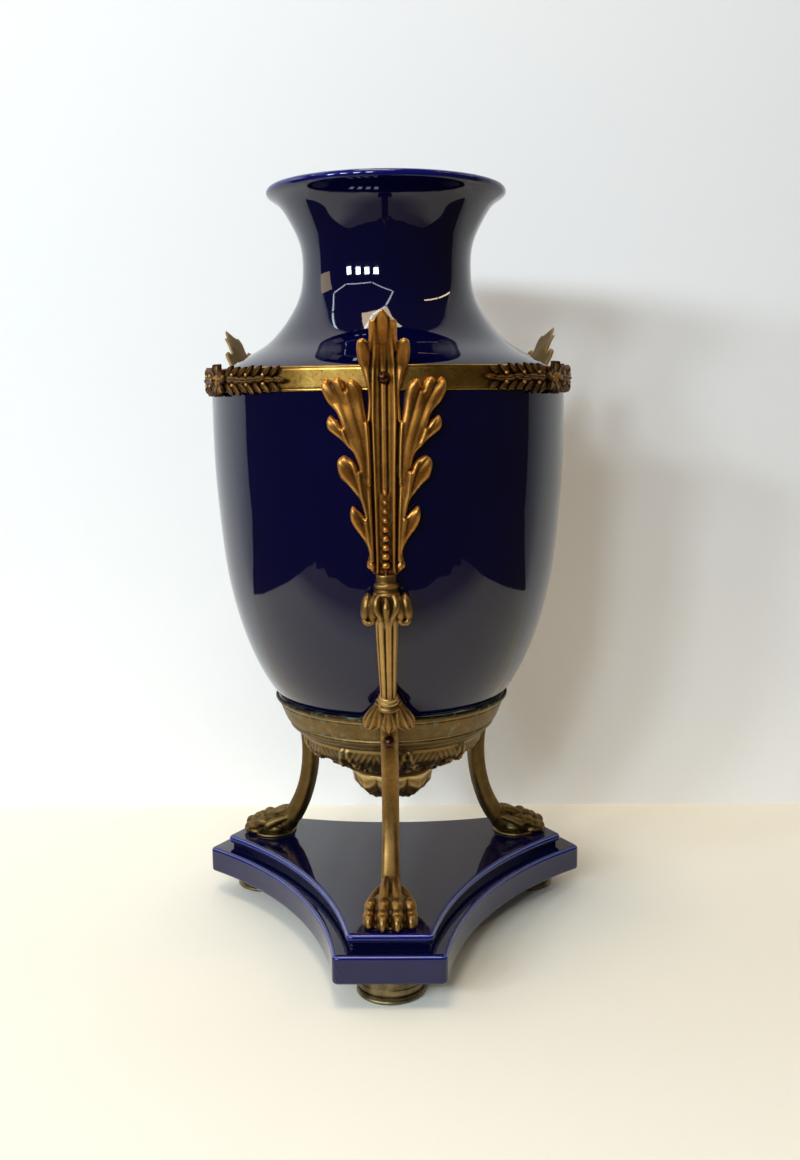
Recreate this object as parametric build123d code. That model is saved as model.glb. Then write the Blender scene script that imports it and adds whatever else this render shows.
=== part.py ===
from build123d import *
import os
from math import asin, atan2, cos, degrees, radians, sin, sqrt

# An urn vase of glazed porcelain held in cast bronze mounts, on a three-cornered plinth.
# Millimetres, +Z up. The origin is on the vase's axis, at the plane that the feet stand on.
# The front leg is towards -Y. A leg's parts are drawn with +X outwards, then turned to their place.

# Heights, from the table up
foot_h = 15.5
lower_slab_h = 18.3
cove_h = 3.0
upper_slab_h = 5.7
boss_gap = 47.0
boss_h = 19.7
cup_h = 28.8
rim_h = 26.8
vase_seat_h = 3.0
belly_h = 228.4
shoulder_h = 79.6
flare_h = 51.0

# Fits and clearances
fit_gap = 0.3
thread_gap = 0.05
hole_gap = 0.4
overrun = 1.0

# Vase
belly_r = 117.1
vase_foot_share = 0.3757
vase_foot_r = belly_r * vase_foot_share
vase_wall = 5.0
vase_floor = 6.0
vase_low_steps = 10
vase_high_steps = 12
rebate_depth = 3.2
rebate_h = 4.6
neck_share = 0.474
neck_r = belly_r * neck_share
lip_share = 0.6695
lip_r = belly_r * lip_share
lip_roll_r = 2.7
lip_lean = 48.0
belly_start_way = (1, 0, 0.45)
height_halvings = 40

# Radius and height of the belly's outline, as shares of belly_r and belly_h
belly_shares = [(0.470, 0.0241), (0.5465, 0.0504), (0.615, 0.081), (0.676, 0.116), (0.790, 0.2145),
                (0.883, 0.3459), (0.940, 0.4772), (0.970, 0.6086), (0.990, 0.740), (0.999, 0.871)]
# The shoulder, as shares of the way from neck_r out to the rebate, and of its height
shoulder_shares = [(0.882, 0.137), (0.675, 0.240), (0.440, 0.347), (0.187, 0.560), (0.036, 0.787)]
# The flare above the neck, as shares of the way from neck_r out to lip_r, and of flare_h
flare_shares = [(0.0655, 0.314), (0.358, 0.608), (0.760, 0.843)]

# Shoulder band
band_h = 14.9
band_t = 1.7
band_edge_r = 0.5

# Acanthus leaves
leaf_h = 152.4
leaf_stud_share = 0.7537
leaf_half_w = 35.0
leaf_t = 3.2
leaf_gap = 0.9
leaf_lean = 17.0
leaf_rib_half_w = 6.0
leaf_rib_t = 1.4
leaf_bead_r = 1.9
leaf_bead_count = 9
leaf_bead_zone_h = 42.0
leaf_lean_start_share = 0.78
leaf_lean_power = 1.6
leaf_rib_top_share = 0.905
leaf_sheet_shares = [-0.03, 0.06, 0.18, 0.32, 0.46, 0.60, 0.72, 0.80, 0.88, 0.95, 1.03]
leaf_spare_turn = 8.0
leaf_knot_share = 0.23
# Lobes of half a leaf from its base to its tip, as shares of leaf_half_w and leaf_h
leaf_lobe_shares = [
    [(0.180, 0.0), (0.260, 0.016), (0.326, 0.040), (0.283, 0.079), (0.326, 0.118), (0.423, 0.155),
     (0.534, 0.192), (0.577, 0.230), (0.565, 0.258), (0.480, 0.262), (0.395, 0.243), (0.331, 0.226)],
    [(0.331, 0.226), (0.380, 0.272), (0.517, 0.324), (0.677, 0.364), (0.760, 0.400), (0.771, 0.430),
     (0.729, 0.454), (0.590, 0.456), (0.480, 0.434), (0.420, 0.408)],
    [(0.420, 0.408), (0.480, 0.456), (0.609, 0.496), (0.737, 0.526), (0.863, 0.550), (0.926, 0.582),
     (0.903, 0.606), (0.820, 0.606), (0.737, 0.590), (0.686, 0.570)],
    [(0.686, 0.570), (0.745, 0.612), (0.862, 0.648), (0.968, 0.686), (1.0, 0.722), (0.957, 0.751),
     (0.880, 0.748), (0.840, 0.735)],
    [(0.840, 0.735), (0.795, 0.752), (0.730, 0.756), (0.668, 0.746), (0.638, 0.731), (0.620, 0.710)],
    [(0.620, 0.710), (0.600, 0.731), (0.568, 0.746), (0.514, 0.750), (0.430, 0.738), (0.357, 0.709),
     (0.323, 0.656), (0.283, 0.596)],
    [(0.283, 0.596), (0.263, 0.643), (0.257, 0.689), (0.291, 0.735), (0.354, 0.781), (0.423, 0.833),
     (0.420, 0.880), (0.383, 0.893), (0.300, 0.896), (0.234, 0.879)],
    [(0.234, 0.879), (0.226, 0.905), (0.226, 0.940), (0.214, 0.962)],
    [(0.214, 0.962), (0.120, 0.968), (0.074, 0.982), (0.0, 1.0)],
]

# Leaf fixings: a stud brazed into the band, with a domed nut outside
stud_r = 2.0
stud_head_r = 4.5
stud_head_t = 0.9
dome_nut_r = 3.6
dome_nut_h = 4.4
nut_skirt_share = 0.3
spot_face_r = 4.2
foot_stud_r = 1.3
foot_stud_h = 9.0

# Legs: the fluted shaft with its capital and rings
leg_count = 3
shaft_rise = 17.2
shaft_top_r = 6.9
shaft_foot_r = 4.8
shaft_gap = 1.6
leg_vase_gap = 1.1  # room between the vase and a collar or a lower leg
shaft_bow = 1.0
flute_count = 10
flute_share = 0.19
foot_ring_r = 6.3
foot_ring_h = 4.0
foot_ring_edge_r = 1.6
capital_h = 15.5
volute_r = 6.6
volute_len = 13.0
volute_offset = 7.8
volute_edge_r = 2.0
capital_neck_r = 7.6
neck_ring_r = 7.8
neck_ring_h = 7.5
neck_ring_edge_r = 1.5
leaf_neck_r = 6.2
leaf_neck_h = 5.0

# Legs: the cabriole lower leg with its paw
leg_r = 5.8
leg_waist_share = 0.5961
leg_waist_r = belly_r * leg_waist_share
leg_waist_rise = 22.5
knee_stand = 8.0
knee_rise = 18.0
ankle_set_in = 41.6
ankle_rise = 15.5
knee_stub_h = 6.0
paw_len = 38.0
paw_toe_overhang = 2.5
paw_half_w = 17.0
paw_plate_t = 2.2
paw_plate_corner_r = 5.0
instep_h = 24.0
instep_r = 9.5
instep_heel_r = 7.0
instep_top_x = 13.0
heel_rise = 5.6
toe_r = 5.0
toe_root_r = 6.0
toe_len = 17.0
toe_rise = 6.5
toe_tip_rise = 3.5
toe_gather = 3.6
toe_stagger = 3.4
toe_count = 4
claw_r = 2.0
claw_tip_r = 1.0
claw_len = 3.6
claw_set = 3.0
claw_drop = 2.0

# Petal collar over the knee: a core that carries on the leg, with petals that hang away from it
collar_len = 20.4
collar_core_r = 5.8
collar_top_r = 6.6
collar_throat_r = 8.2
collar_mouth_r = 13.2
collar_petal_t = 2.0
collar_petal_count = 6
collar_drop = 19.6
collar_hollow_h = 12.0
collar_notch_w = 3.4
collar_notch_h = 9.0
collar_bore_gap = 0.5
collar_throat_drop_share = 0.35

# Knee fixings
knee_bolt_r = 2.2
knee_bolt_drop = 3.0
knee_nut_r = 3.9
knee_nut_h = 5.0
knee_stand_off = 6.6
rim_grip = 1.7
pin_r = 1.6
pin_bite = 8.0
pin_start_up = 1.5

# Bowl
rim_lip_share = 0.6815
rim_lip_r = belly_r * rim_lip_share
rim_t = 2.8
rim_lip_t = 1.4
cup_share = 0.526
cup_r = belly_r * cup_share
cup_t = 3.4
cup_shoulder_drop = 6.3
cup_shoulder_t = 4.1
cup_floor_share = 0.2246
cup_floor_r = belly_r * cup_floor_share
cup_cove_h = 3.4
cup_cove_way = (-1, 0, -0.35)
boss_share = 0.2391
boss_r = belly_r * boss_share
boss_brim_way = (-0.5, 0, -1)
plaster_low_share = 0.3595
plaster_low_r = belly_r * plaster_low_share
plaster_low_drop = 15.0
# Outside of the rim from its lip down, as shares of rim_lip_r and of rim_h up from its underside
rim_shares = [(0.947, 0.619), (0.896, 0.306), (0.846, 0.142), (0.790, 0.0)]
# Outside of the cup, as shares of the way from boss_r out to cup_r, and of cup_h
cup_shares = [(0.988, 0.79), (0.952, 0.708), (0.833, 0.607), (0.655, 0.486), (0.467, 0.375), (0.265, 0.260),
              (0.09, 0.132)]
# Outside of the hanging boss, as shares of boss_r and boss_h
boss_shares = [(0.946, 0.797), (0.900, 0.609), (0.796, 0.406), (0.607, 0.208), (0.330, 0.06)]

# Tie rod through the vase's floor
rod_r = 4.0
rod_nut_w = 13.0
rod_nut_h = 6.5
rod_washer_r = 15.0
rod_washer_t = 1.6
rod_leather_r = 17.0
rod_leather_t = 2.5
rod_above_nut = 3.0
rod_bite = 11.0

# Laurel garlands and rosettes, between the leaves
garland_span = 62.0
strip_h = 3.6
strip_t = 1.8
strip_span_share = 0.92
laurel_len = 14.0
laurel_w = 5.6
laurel_step_t = 0.5
laurel_rows = 6
laurel_splay = 32.0
laurel_offset = 1.3
laurel_start_share = 0.20
laurel_last_share = 0.86
laurel_last_size_share = 0.75
laurel_belly_share = 0.45
rosette_r = 10.4
rosette_t = 2.4
rosette_disc_r = 5.8
rosette_petal_r = 3.9
rosette_petal_edge_r = 1.4
rosette_petals = 5
rosette_heart_r = 3.4
garland_pin_r = 0.9
garland_pin_head_r = 1.6
garland_pin_head_t = 1.0
garland_pin_share = 0.62
garland_seat_cut = 0.3

# Plinth: three chamfered corners with concave sides between them
upper_reach = 128.6
upper_corner_share = 0.2061
upper_corner_w = upper_reach * upper_corner_share
upper_side_share = 0.542
upper_side = upper_reach * upper_side_share
lower_reach_step = 10.6
lower_reach = upper_reach + lower_reach_step
lower_corner_step = 8.2
lower_corner_w = upper_corner_w + lower_corner_step
lower_side_step = 9.2
lower_side = upper_side + lower_side_step
bead_set_back = 2.4
slab_edge_r = 2.4
upper_edge_r = 2.6
corner_r = 4.0

# Feet
foot_set_in = 15.5
foot_circle_r = upper_reach - foot_set_in
foot_r = 21.6
foot_flange_h = 4.2
foot_groove_h = 1.2
foot_groove_depth = 1.3
foot_chamfer = 0.4
foot_set_back = 0.35
paw_stud_r = 3.0
paw_stud_up = 10.0
foot_floor = 6.0

# Derived heights
cove_z = foot_h + lower_slab_h
slab_z = cove_z + cove_h
plinth_top = slab_z + upper_slab_h
boss_z = plinth_top + boss_gap
cup_z = boss_z + boss_h
rim_z = cup_z + cup_h
rim_top = rim_z + rim_h
vase_z = rim_z + vase_seat_h
band_z = vase_z + belly_h
band_top = band_z + band_h
neck_z = band_z + shoulder_h
vase_top = neck_z + flare_h
band_mid = band_z + band_h / 2
rebate_r = belly_r - rebate_depth
band_in_r = belly_r - band_t
leaf_z = band_mid - leaf_h * leaf_stud_share
leaf_top = leaf_z + leaf_h
neck_ring_z = leaf_z - leaf_neck_h - neck_ring_h
capital_z = neck_ring_z - capital_h
shaft_z = rim_top + shaft_rise
shaft_h = capital_z - shaft_z
ankle_r = upper_reach - ankle_set_in

leg_names = ["front", "rear_right", "rear_left"]
leg_turns = [360.0 * k / leg_count for k in range(leg_count)]
garland_names = ["front_right", "back", "front_left"]
half_turn = 180.0 / leg_count


def at_leg(shape, turn):
    """Turn a shape that was drawn with +X outwards to the azimuth that is turn degrees from the front."""
    return Rot(0, 0, turn - 90.0) * shape


def point(radius, height, side=0.0):
    """A point of the radial plane, with an optional step sideways."""
    return Vector(radius, side, height)


def turned(edges):
    """A full turn about the vase's axis of a closed outline in the radial plane."""
    return revolve(make_face(edges), Axis.Z)


def turned_ring(outline):
    """A full turn of a closed outline of straight edges, given as (radius, height) pairs."""
    return turned(Polyline(*[point(r, z) for r, z in outline], close=True))


def rod_along(start, end, radius):
    """A round bar from one point to another."""
    way = end - start
    rod = Cylinder(radius, way.length, align=(Align.CENTER, Align.CENTER, Align.MIN))
    return Plane(origin=start, z_dir=way) * rod


def capsule(start, end, start_r, end_r):
    """A round-ended bar whose thickness changes evenly from one end to the other."""
    way = end - start
    length = way.length
    low = cos(radians(45))
    edges = [ThreePointArc((0, -start_r), (start_r * low, -start_r * low), (start_r, 0)),
             Line((start_r, 0), (end_r, length)),
             ThreePointArc((end_r, length), (end_r * low, length + end_r * low), (0, length + end_r)),
             Line((0, length + end_r), (0, -start_r))]
    return Plane(origin=start, z_dir=way) * revolve(Plane.XZ * make_face(edges), Axis.Z)


def merged(pieces):
    """One body from a list of pieces that touch or overlap."""
    whole = pieces[0]
    for piece in pieces[1:]:
        whole = whole + piece
    return whole


# Vase outline


def belly_points():
    """The belly's outline from its flat foot up to the band's ledge."""
    inner = [point(belly_r * r, vase_z + belly_h * z) for r, z in belly_shares]
    return [point(vase_foot_r, vase_z)] + inner + [point(belly_r, band_z)]


def neck_points():
    """The outline from the top of the rebate over the shoulder and up the neck to the lip's roll."""
    start_z = band_z + rebate_h
    rise = neck_z - start_z
    over = [point(neck_r + (rebate_r - neck_r) * r, neck_z - rise * (1 - z)) for r, z in shoulder_shares]
    up = [point(neck_r + (lip_r - neck_r) * r, neck_z + flare_h * z) for r, z in flare_shares]
    return [point(rebate_r, start_z)] + over + [point(neck_r, neck_z)] + up + [lip_point(-1, 0)]


def lip_point(across, along):
    """A point of the lip's roll: across the wall (-1 outside, 1 inside) or along it."""
    centre = point(lip_r - lip_roll_r, vase_top - lip_roll_r)
    lean = radians(lip_lean)
    return centre + point(lip_roll_r * (along * cos(lean) - across * sin(lean)),
                          lip_roll_r * (along * sin(lean) + across * cos(lean)))


belly_line = Spline(*belly_points(), tangents=[belly_start_way, (0, 0, 1)])
lip_way = (cos(radians(lip_lean)), 0, sin(radians(lip_lean)))
neck_line = Spline(*neck_points(), tangents=[(0, 0, 1), lip_way])


def belly_share_at(height):
    """How far along the belly's outline a height lies, found by halving."""
    low, high = 0.0, 1.0
    for _ in range(height_halvings):
        middle = (low + high) / 2
        if (belly_line @ middle).Z < height:
            low = middle
        else:
            high = middle
    return low


def belly_r_at(height):
    """The vase's outside radius at a height, with the band's radius from its ledge up."""
    if height >= band_z:
        return belly_r
    return (belly_line @ belly_share_at(height)).X


def belly_lean_at(height):
    """The angle in degrees between the vase's side and the upright, at a height."""
    way = belly_line % belly_share_at(height)
    return degrees(atan2(way.X, way.Z))


def stepped_in(line, shares, depth):
    """Points that lie a wall's thickness inside an outline."""
    steps = []
    for share in shares:
        way = line % share
        steps.append(line @ share - Vector(way.Z, 0, -way.X) * depth)
    return steps


def make_vase():
    """The porcelain body: hollow, with a rolled lip, a rebate for the band and a hole for the tie rod."""
    floor_z = vase_z + vase_floor
    low_shares = [k / vase_low_steps for k in range(2, vase_low_steps + 1)]
    high_shares = [k / vase_high_steps for k in range(1, vase_high_steps)]
    low = stepped_in(belly_line, low_shares, vase_wall)
    high = stepped_in(neck_line, high_shares, vase_wall)
    foot = point(vase_foot_r, floor_z)
    inner = Spline(foot, *low, *high, lip_point(1, 0))
    outline = [
        Line(point(0, vase_z), point(vase_foot_r, vase_z)),
        belly_line,
        Line(point(belly_r, band_z), point(rebate_r, band_z)),
        Line(point(rebate_r, band_z), point(rebate_r, band_z + rebate_h)),
        neck_line,
        ThreePointArc(lip_point(-1, 0), lip_point(0, 1), lip_point(1, 0)),
        inner,
        Line(foot, point(0, floor_z)),
        Line(point(0, floor_z), point(0, vase_z)),
    ]
    hole = rod_along(point(0, vase_z - overrun), point(0, floor_z + overrun), rod_r + hole_gap)
    return turned(outline) - hole


def make_band():
    """The brass band on the shoulder's ledge, with rounded outer edges and a hole for each leaf's stud."""
    outline = [(band_in_r, band_z), (belly_r, band_z), (belly_r, band_top), (band_in_r, band_top)]
    band = turned_ring(outline)
    outer_edges = [edge for edge in band.edges()
                   if edge.geom_type == GeomType.CIRCLE and edge.radius > belly_r - band_t / 2]
    band = fillet(outer_edges, band_edge_r)
    for turn in leg_turns:
        band -= at_leg(rod_along(point(rebate_r, band_mid), point(belly_r + overrun, band_mid),
                                 stud_r + thread_gap), turn)
    return band


# Acanthus leaves


def leaf_back_r(height):
    """The radius of a leaf's back: it follows the vase, then leans outwards above the band."""
    lean_z = leaf_z + leaf_h * leaf_lean_start_share
    lean_share = max(0.0, (height - lean_z) / (leaf_top - lean_z))
    return belly_r_at(height) + leaf_gap + leaf_lean * lean_share ** leaf_lean_power


def leaf_shell(depth_from, depth_to, spread):
    """A slice of the curved sheet that a leaf is cut from, between two depths outside its back."""
    heights = [leaf_z + leaf_h * share for share in leaf_sheet_shares]
    backs = [point(leaf_back_r(z) + depth_from, z) for z in heights]
    fronts = [point(leaf_back_r(z) + depth_to, z) for z in heights]
    edges = [Spline(*backs), Line(backs[-1], fronts[-1]), Spline(*fronts), Line(fronts[0], backs[0])]
    return Rot(0, 0, -spread / 2) * revolve(make_face(edges), Axis.Z, spread)


def leaf_half_edges(side):
    """The lobed edge of one half of a leaf, on the side that the sign names. Its knots are spaced by the
    shares alone, so that the outline stretches evenly with the leaf."""
    edges = []
    for lobe in leaf_lobe_shares:
        steps = [sqrt((leaf_knot_share * (w - last_w)) ** 2 + (h - last_h) ** 2)
                 for (last_w, last_h), (w, h) in zip(lobe, lobe[1:])]
        knots = [sum(steps[:k]) for k in range(len(lobe))]
        points = [point(0, leaf_z + leaf_h * h, side * leaf_half_w * w) for w, h in lobe]
        edges.append(Edge.make_spline(points, parameters=knots))
    return edges


def make_leaf():
    """A cast acanthus leaf: a lobed sheet with a raised rib, beads, a foot and a hole for its stud."""
    spread = 2 * degrees(asin(leaf_half_w / belly_r)) + leaf_spare_turn
    base_w = leaf_half_w * leaf_lobe_shares[0][0][0]
    base = Line(point(0, leaf_z, -base_w), point(0, leaf_z, base_w))
    face = make_face(leaf_half_edges(1) + leaf_half_edges(-1) + [base])
    reach = belly_r + leaf_lean + leaf_t + leaf_rib_t + leaf_gap + overrun
    blank = extrude(face, reach, dir=(1, 0, 0))
    sheet = blank & leaf_shell(0, leaf_t, spread)
    rib_top = leaf_z + leaf_h * leaf_rib_top_share
    rib_box = Pos(reach / 2, 0, (leaf_z + rib_top) / 2) * Box(reach, 2 * leaf_rib_half_w, rib_top - leaf_z)
    rib = rib_box & leaf_shell(leaf_t / 2, leaf_t + leaf_rib_t, spread)
    leaf = sheet + rib
    for k in range(leaf_bead_count):
        share = k / (leaf_bead_count - 1)
        bead_z = leaf_z + leaf_neck_h + leaf_bead_zone_h * share
        front = leaf_back_r(bead_z) + leaf_t + leaf_rib_t
        leaf += Pos(front, 0, bead_z) * Sphere(leaf_bead_r * (1 - share / 2))
    seat_r = leaf_nut_seat_r()
    leaf -= rod_along(point(seat_r, band_mid), point(reach + leaf_lean, band_mid), spot_face_r)
    leaf -= rod_along(point(belly_r, band_mid), point(reach, band_mid), stud_r + hole_gap)
    foot_x = leaf_foot_r()
    leaf -= rod_along(point(foot_x, leaf_z - overrun), point(foot_x, leaf_z + foot_stud_h / 2 + hole_gap),
                      foot_stud_r + thread_gap)
    return leaf


def leaf_nut_seat_r():
    """The radius of the flat face that the domed nut is tightened on."""
    return leaf_back_r(band_mid) + leaf_t + leaf_rib_t / 2


def leaf_foot_r():
    """The radius at the middle of a leaf's foot, where it stands on the neck ring."""
    return leaf_back_r(leaf_z) + (leaf_t + leaf_rib_t) / 2


# Leg shafts


def shaft_centre(height, radius):
    """The middle of a shaft of some radius that stands clear of the vase at a height."""
    lean = radians(belly_lean_at(height))
    return point(belly_r_at(height) + (radius + shaft_gap) / cos(lean), height)


def shaft_frame(share):
    """The plane and radius of the shaft's section at a share of its height."""
    radius = shaft_foot_r + (shaft_top_r - shaft_foot_r) * share
    height = shaft_z + shaft_h * share
    bow = point(shaft_bow * 4 * share * (1 - share), 0)
    lean = radians(belly_lean_at(height))
    return Plane(origin=shaft_centre(height, radius) + bow, x_dir=(0, 1, 0),
                 z_dir=(sin(lean), 0, cos(lean))), radius


def fluted_section(share):
    """The shaft's section with its flutes, on its own plane."""
    plane, radius = shaft_frame(share)
    section = Circle(radius)
    for turn in range(flute_count):
        section -= Rot(0, 0, 360.0 * turn / flute_count) * Pos(radius, 0) * Circle(radius * flute_share)
    return plane * section


def make_shaft():
    """A fluted shaft that follows the vase, with a foot ring, a capital of two volutes and a neck ring."""
    shaft = loft([fluted_section(share) for share in (0.0, 0.5, 1.0)])
    foot_plane, _ = shaft_frame(0.0)
    foot_ring = foot_plane * Cylinder(foot_ring_r, foot_ring_h)
    foot_ring = fillet(foot_ring.edges().filter_by(GeomType.CIRCLE), foot_ring_edge_r)
    top = leaf_foot_r()
    capital_mid = capital_z + capital_h / 2
    bell = Pos(top, 0, capital_mid) * Cone(shaft_top_r, capital_neck_r, capital_h)
    neck_ring = Pos(top, 0, neck_ring_z + neck_ring_h / 2) * Cylinder(neck_ring_r, neck_ring_h)
    neck_ring = fillet(neck_ring.edges().filter_by(GeomType.CIRCLE), neck_ring_edge_r)
    neck = rod_along(point(top, neck_ring_z), point(top, leaf_z), leaf_neck_r)
    vase_room = grown_vase(shaft_gap / 2)
    whole = merged([shaft, foot_ring, bell, neck_ring, neck]) - vase_room
    for side in (-1, 1):
        drum = Pos(top, side * volute_offset, capital_mid) * Rot(0, 90, 0) * Cylinder(volute_r, volute_len)
        whole += fillet(drum.edges().filter_by(GeomType.CIRCLE), volute_edge_r) - vase_room
    whole -= rod_along(point(top, leaf_z - foot_stud_h / 2 - hole_gap), point(top, leaf_z + overrun),
                       foot_stud_r + thread_gap)
    pin_start, pin_end = knee_pin_ends()
    whole -= rod_along(pin_start, pin_end + (pin_end - pin_start).normalized() * hole_gap, pin_r + thread_gap)
    return whole


def grown_vase(gap):
    """The space that the vase's side takes up below the band, with a clearance round it."""
    outer = [p + Vector(gap, 0, 0) for p in belly_points()]
    edges = [Spline(*outer), Line(outer[-1], point(0, band_z)), Line(point(0, band_z), point(0, vase_z)),
             Line(point(0, vase_z), outer[0])]
    return turned(edges)


def clear_of_vase(shape):
    """A part of a leg, cut back from the bowl's rim and from the vase."""
    rim = [point(r + fit_gap, z) for r, z in rim_outside()]
    top = point(rim[0].X, rim_top + fit_gap)
    low = point(rim[-1].X, rim_z - fit_gap)
    rim_room = turned(Polyline(top, *rim, low, point(0, low.Z), point(0, top.Z), close=True))
    return shape - rim_room - grown_vase(leg_vase_gap)


# Lower legs and paws


def shaft_foot():
    """The middle of the shaft's lower end and the direction up the shaft there."""
    plane, _ = shaft_frame(0.0)
    return plane.origin - plane.z_dir * (foot_ring_h / 2), plane.z_dir


def rim_r_at(height):
    """The outside radius of the bowl's rim at a height, on its straight facets."""
    outline = rim_outside()
    for (high_r, high_z), (low_r, low_z) in zip(outline, outline[1:]):
        if low_z <= height <= high_z:
            return low_r + (high_r - low_r) * (height - low_z) / (high_z - low_z)
    return outline[0][0]


def knee_point():
    """The middle of the leg at its knee, clear of the rim."""
    height = rim_z + knee_rise
    return point(rim_r_at(height) + knee_stand, height)


def make_paw_leg():
    """The lower leg, bowed in below the bowl and out to a clawed paw on a thin plate."""
    knee = knee_point()
    waist = point(leg_waist_r, boss_z + leg_waist_rise)
    ankle = point(ankle_r, plinth_top + ankle_rise)
    upper = RadialBow(waist, knee)
    lower = RadialBow(waist, ankle)
    section = Plane(origin=ankle, z_dir=lower.end_way()) * Circle(leg_r)
    path = Wire([lower.arc(reverse=True), upper.arc()])
    leg = sweep(section, path=path)
    stub_top, up = stub_end()
    leg += capsule(knee, stub_top - up * knee_stub_h, leg_r, leg_r)
    leg += rod_along(stub_top - up * knee_stub_h, stub_top, leg_r)
    leg += make_paw(ankle, lower.end_way())
    bolt_z = knee.Z - knee_bolt_drop
    seat = knee_seat_r()
    leg -= rod_along(point(seat, bolt_z), point(seat + knee_nut_h + leg_r, bolt_z), knee_nut_r + hole_gap)
    leg -= rod_along(point(0, bolt_z), point(seat + overrun, bolt_z), knee_bolt_r + hole_gap)
    pin_start, pin_end = knee_pin_ends()
    leg -= rod_along(pin_start, pin_end, pin_r + thread_gap)
    leg -= rod_along(point(foot_circle_r, plinth_top - overrun),
                     point(foot_circle_r, plinth_top + paw_stud_up + hole_gap), paw_stud_r + thread_gap)
    return clear_of_vase(leg)


class RadialBow:
    """A circular arc in the radial plane that leaves its start upright and passes through its end."""

    def __init__(self, start, end):
        self.start, self.end = start, end
        self.out = end.X - start.X
        self.rise = end.Z - start.Z
        self.radius = (self.out ** 2 + self.rise ** 2) / (2 * self.out)

    def at(self, share):
        turn = asin(abs(self.rise) / self.radius) * share
        sign = 1 if self.rise > 0 else -1
        return self.start + point(self.radius * (1 - cos(turn)), sign * self.radius * sin(turn))

    def end_way(self):
        turn = asin(abs(self.rise) / self.radius)
        return Vector(-sin(turn), 0, cos(turn)) if self.rise < 0 else Vector(sin(turn), 0, cos(turn))

    def arc(self, reverse=False):
        points = [self.start, self.at(0.5), self.end]
        return ThreePointArc(*(points[::-1] if reverse else points))


def knee_seat_r():
    """The radius of the flat face on the leg that the knee's nut is tightened on."""
    return rim_r_at(knee_point().Z) + knee_stand + knee_stand_off


def stub_end():
    """The middle of the lower leg's flat top, where the collar stands on it, and the way up from there."""
    foot_point, up = shaft_foot()
    return foot_point - up * collar_len, up


def knee_pin_ends():
    """The two ends of the hidden pin that joins a shaft to the lower leg through the collar."""
    foot_point, up = shaft_foot()
    stub_top, _ = stub_end()
    return stub_top - up * (knee_stub_h - pin_start_up), foot_point + up * pin_bite


def make_paw(ankle, leg_way):
    """A lion's paw: heel, instep, fanned toes with claws, and the plate that it was cast on."""
    toe_end = upper_reach - paw_toe_overhang
    heel = toe_end - paw_len
    floor = plinth_top + paw_plate_t
    heel_end = point(heel + instep_heel_r, floor + heel_rise)
    crown = point(heel + instep_top_x, plinth_top + instep_h - instep_r)
    heel_way = leg_way * (-(ankle.Z - plinth_top) / leg_way.Z)
    parts = [capsule(heel_end, crown, instep_heel_r, instep_r)]
    parts.append(capsule(ankle, ankle + heel_way, leg_r, leg_r))
    middle = (toe_count - 1) / 2
    for k in range(toe_count):
        side = (k - middle) / middle
        tip_x = toe_end - toe_r - toe_stagger * abs(side)
        tip = point(tip_x, floor + toe_tip_rise, side * (paw_half_w - toe_r))
        root = tip + Vector(-toe_len, -side * toe_gather, toe_rise)
        claw_root = tip + Vector(claw_set, 0, 0)
        parts.append(capsule(root, tip, toe_root_r, toe_r))
        parts.append(capsule(claw_root, claw_root + Vector(claw_len, 0, -claw_drop), claw_r, claw_tip_r))
    paw = merged(parts)
    room = Pos(toe_end - paw_len / 2, 0, plinth_top + paw_len) * Box(2 * paw_len, 4 * paw_half_w, 2 * paw_len)
    paw = paw & room
    plate_len = paw_len - toe_r
    plate = Pos(heel + plate_len / 2 + toe_r / 2, 0, plinth_top + paw_plate_t / 2) * Box(
        plate_len, 2 * paw_half_w - toe_r / 2, paw_plate_t)
    return paw + fillet(plate.edges().filter_by(Axis.Z), paw_plate_corner_r)


def make_collar():
    """The calyx of petals that hangs over the knee, bored for the hidden pin and cut back round the rim."""
    foot_point, up = shaft_foot()
    bore_r = pin_r + collar_bore_gap
    mouth_in = collar_mouth_r - collar_petal_t
    bell = [
        Line((bore_r, 0), (collar_top_r, 0)),
        ThreePointArc((collar_top_r, 0), (collar_throat_r, -collar_len * collar_throat_drop_share),
                      (collar_mouth_r, -collar_drop)),
        Line((collar_mouth_r, -collar_drop), (mouth_in, -collar_drop)),
        Line((mouth_in, -collar_drop), (collar_core_r, -collar_drop + collar_hollow_h)),
        Line((collar_core_r, -collar_drop + collar_hollow_h), (collar_core_r, -collar_len)),
        Line((collar_core_r, -collar_len), (bore_r, -collar_len)),
        Line((bore_r, -collar_len), (bore_r, 0)),
    ]
    calyx = revolve(Plane.XZ * make_face(bell), Axis.Z)
    notch_half_w = collar_notch_w / 2
    notch_line = Polyline((-notch_half_w, -overrun), (notch_half_w, -overrun), (0, collar_notch_h),
                          close=True)
    notch = extrude(Plane.YZ * make_face(notch_line), collar_mouth_r)
    notch = Pos(collar_core_r + fit_gap, 0, -collar_drop) * notch
    for k in range(collar_petal_count):
        calyx -= Rot(0, 0, 360.0 * (k + 0.5) / collar_petal_count) * notch
    frame = Plane(origin=foot_point, x_dir=(0, 1, 0), z_dir=up)
    return clear_of_vase(frame * calyx)


# Bowl


def rim_outside():
    """The (radius, height) points down the outside of the rim."""
    return [(rim_lip_r, rim_top)] + [(rim_lip_r * r, rim_z + rim_h * z) for r, z in rim_shares]


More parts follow.
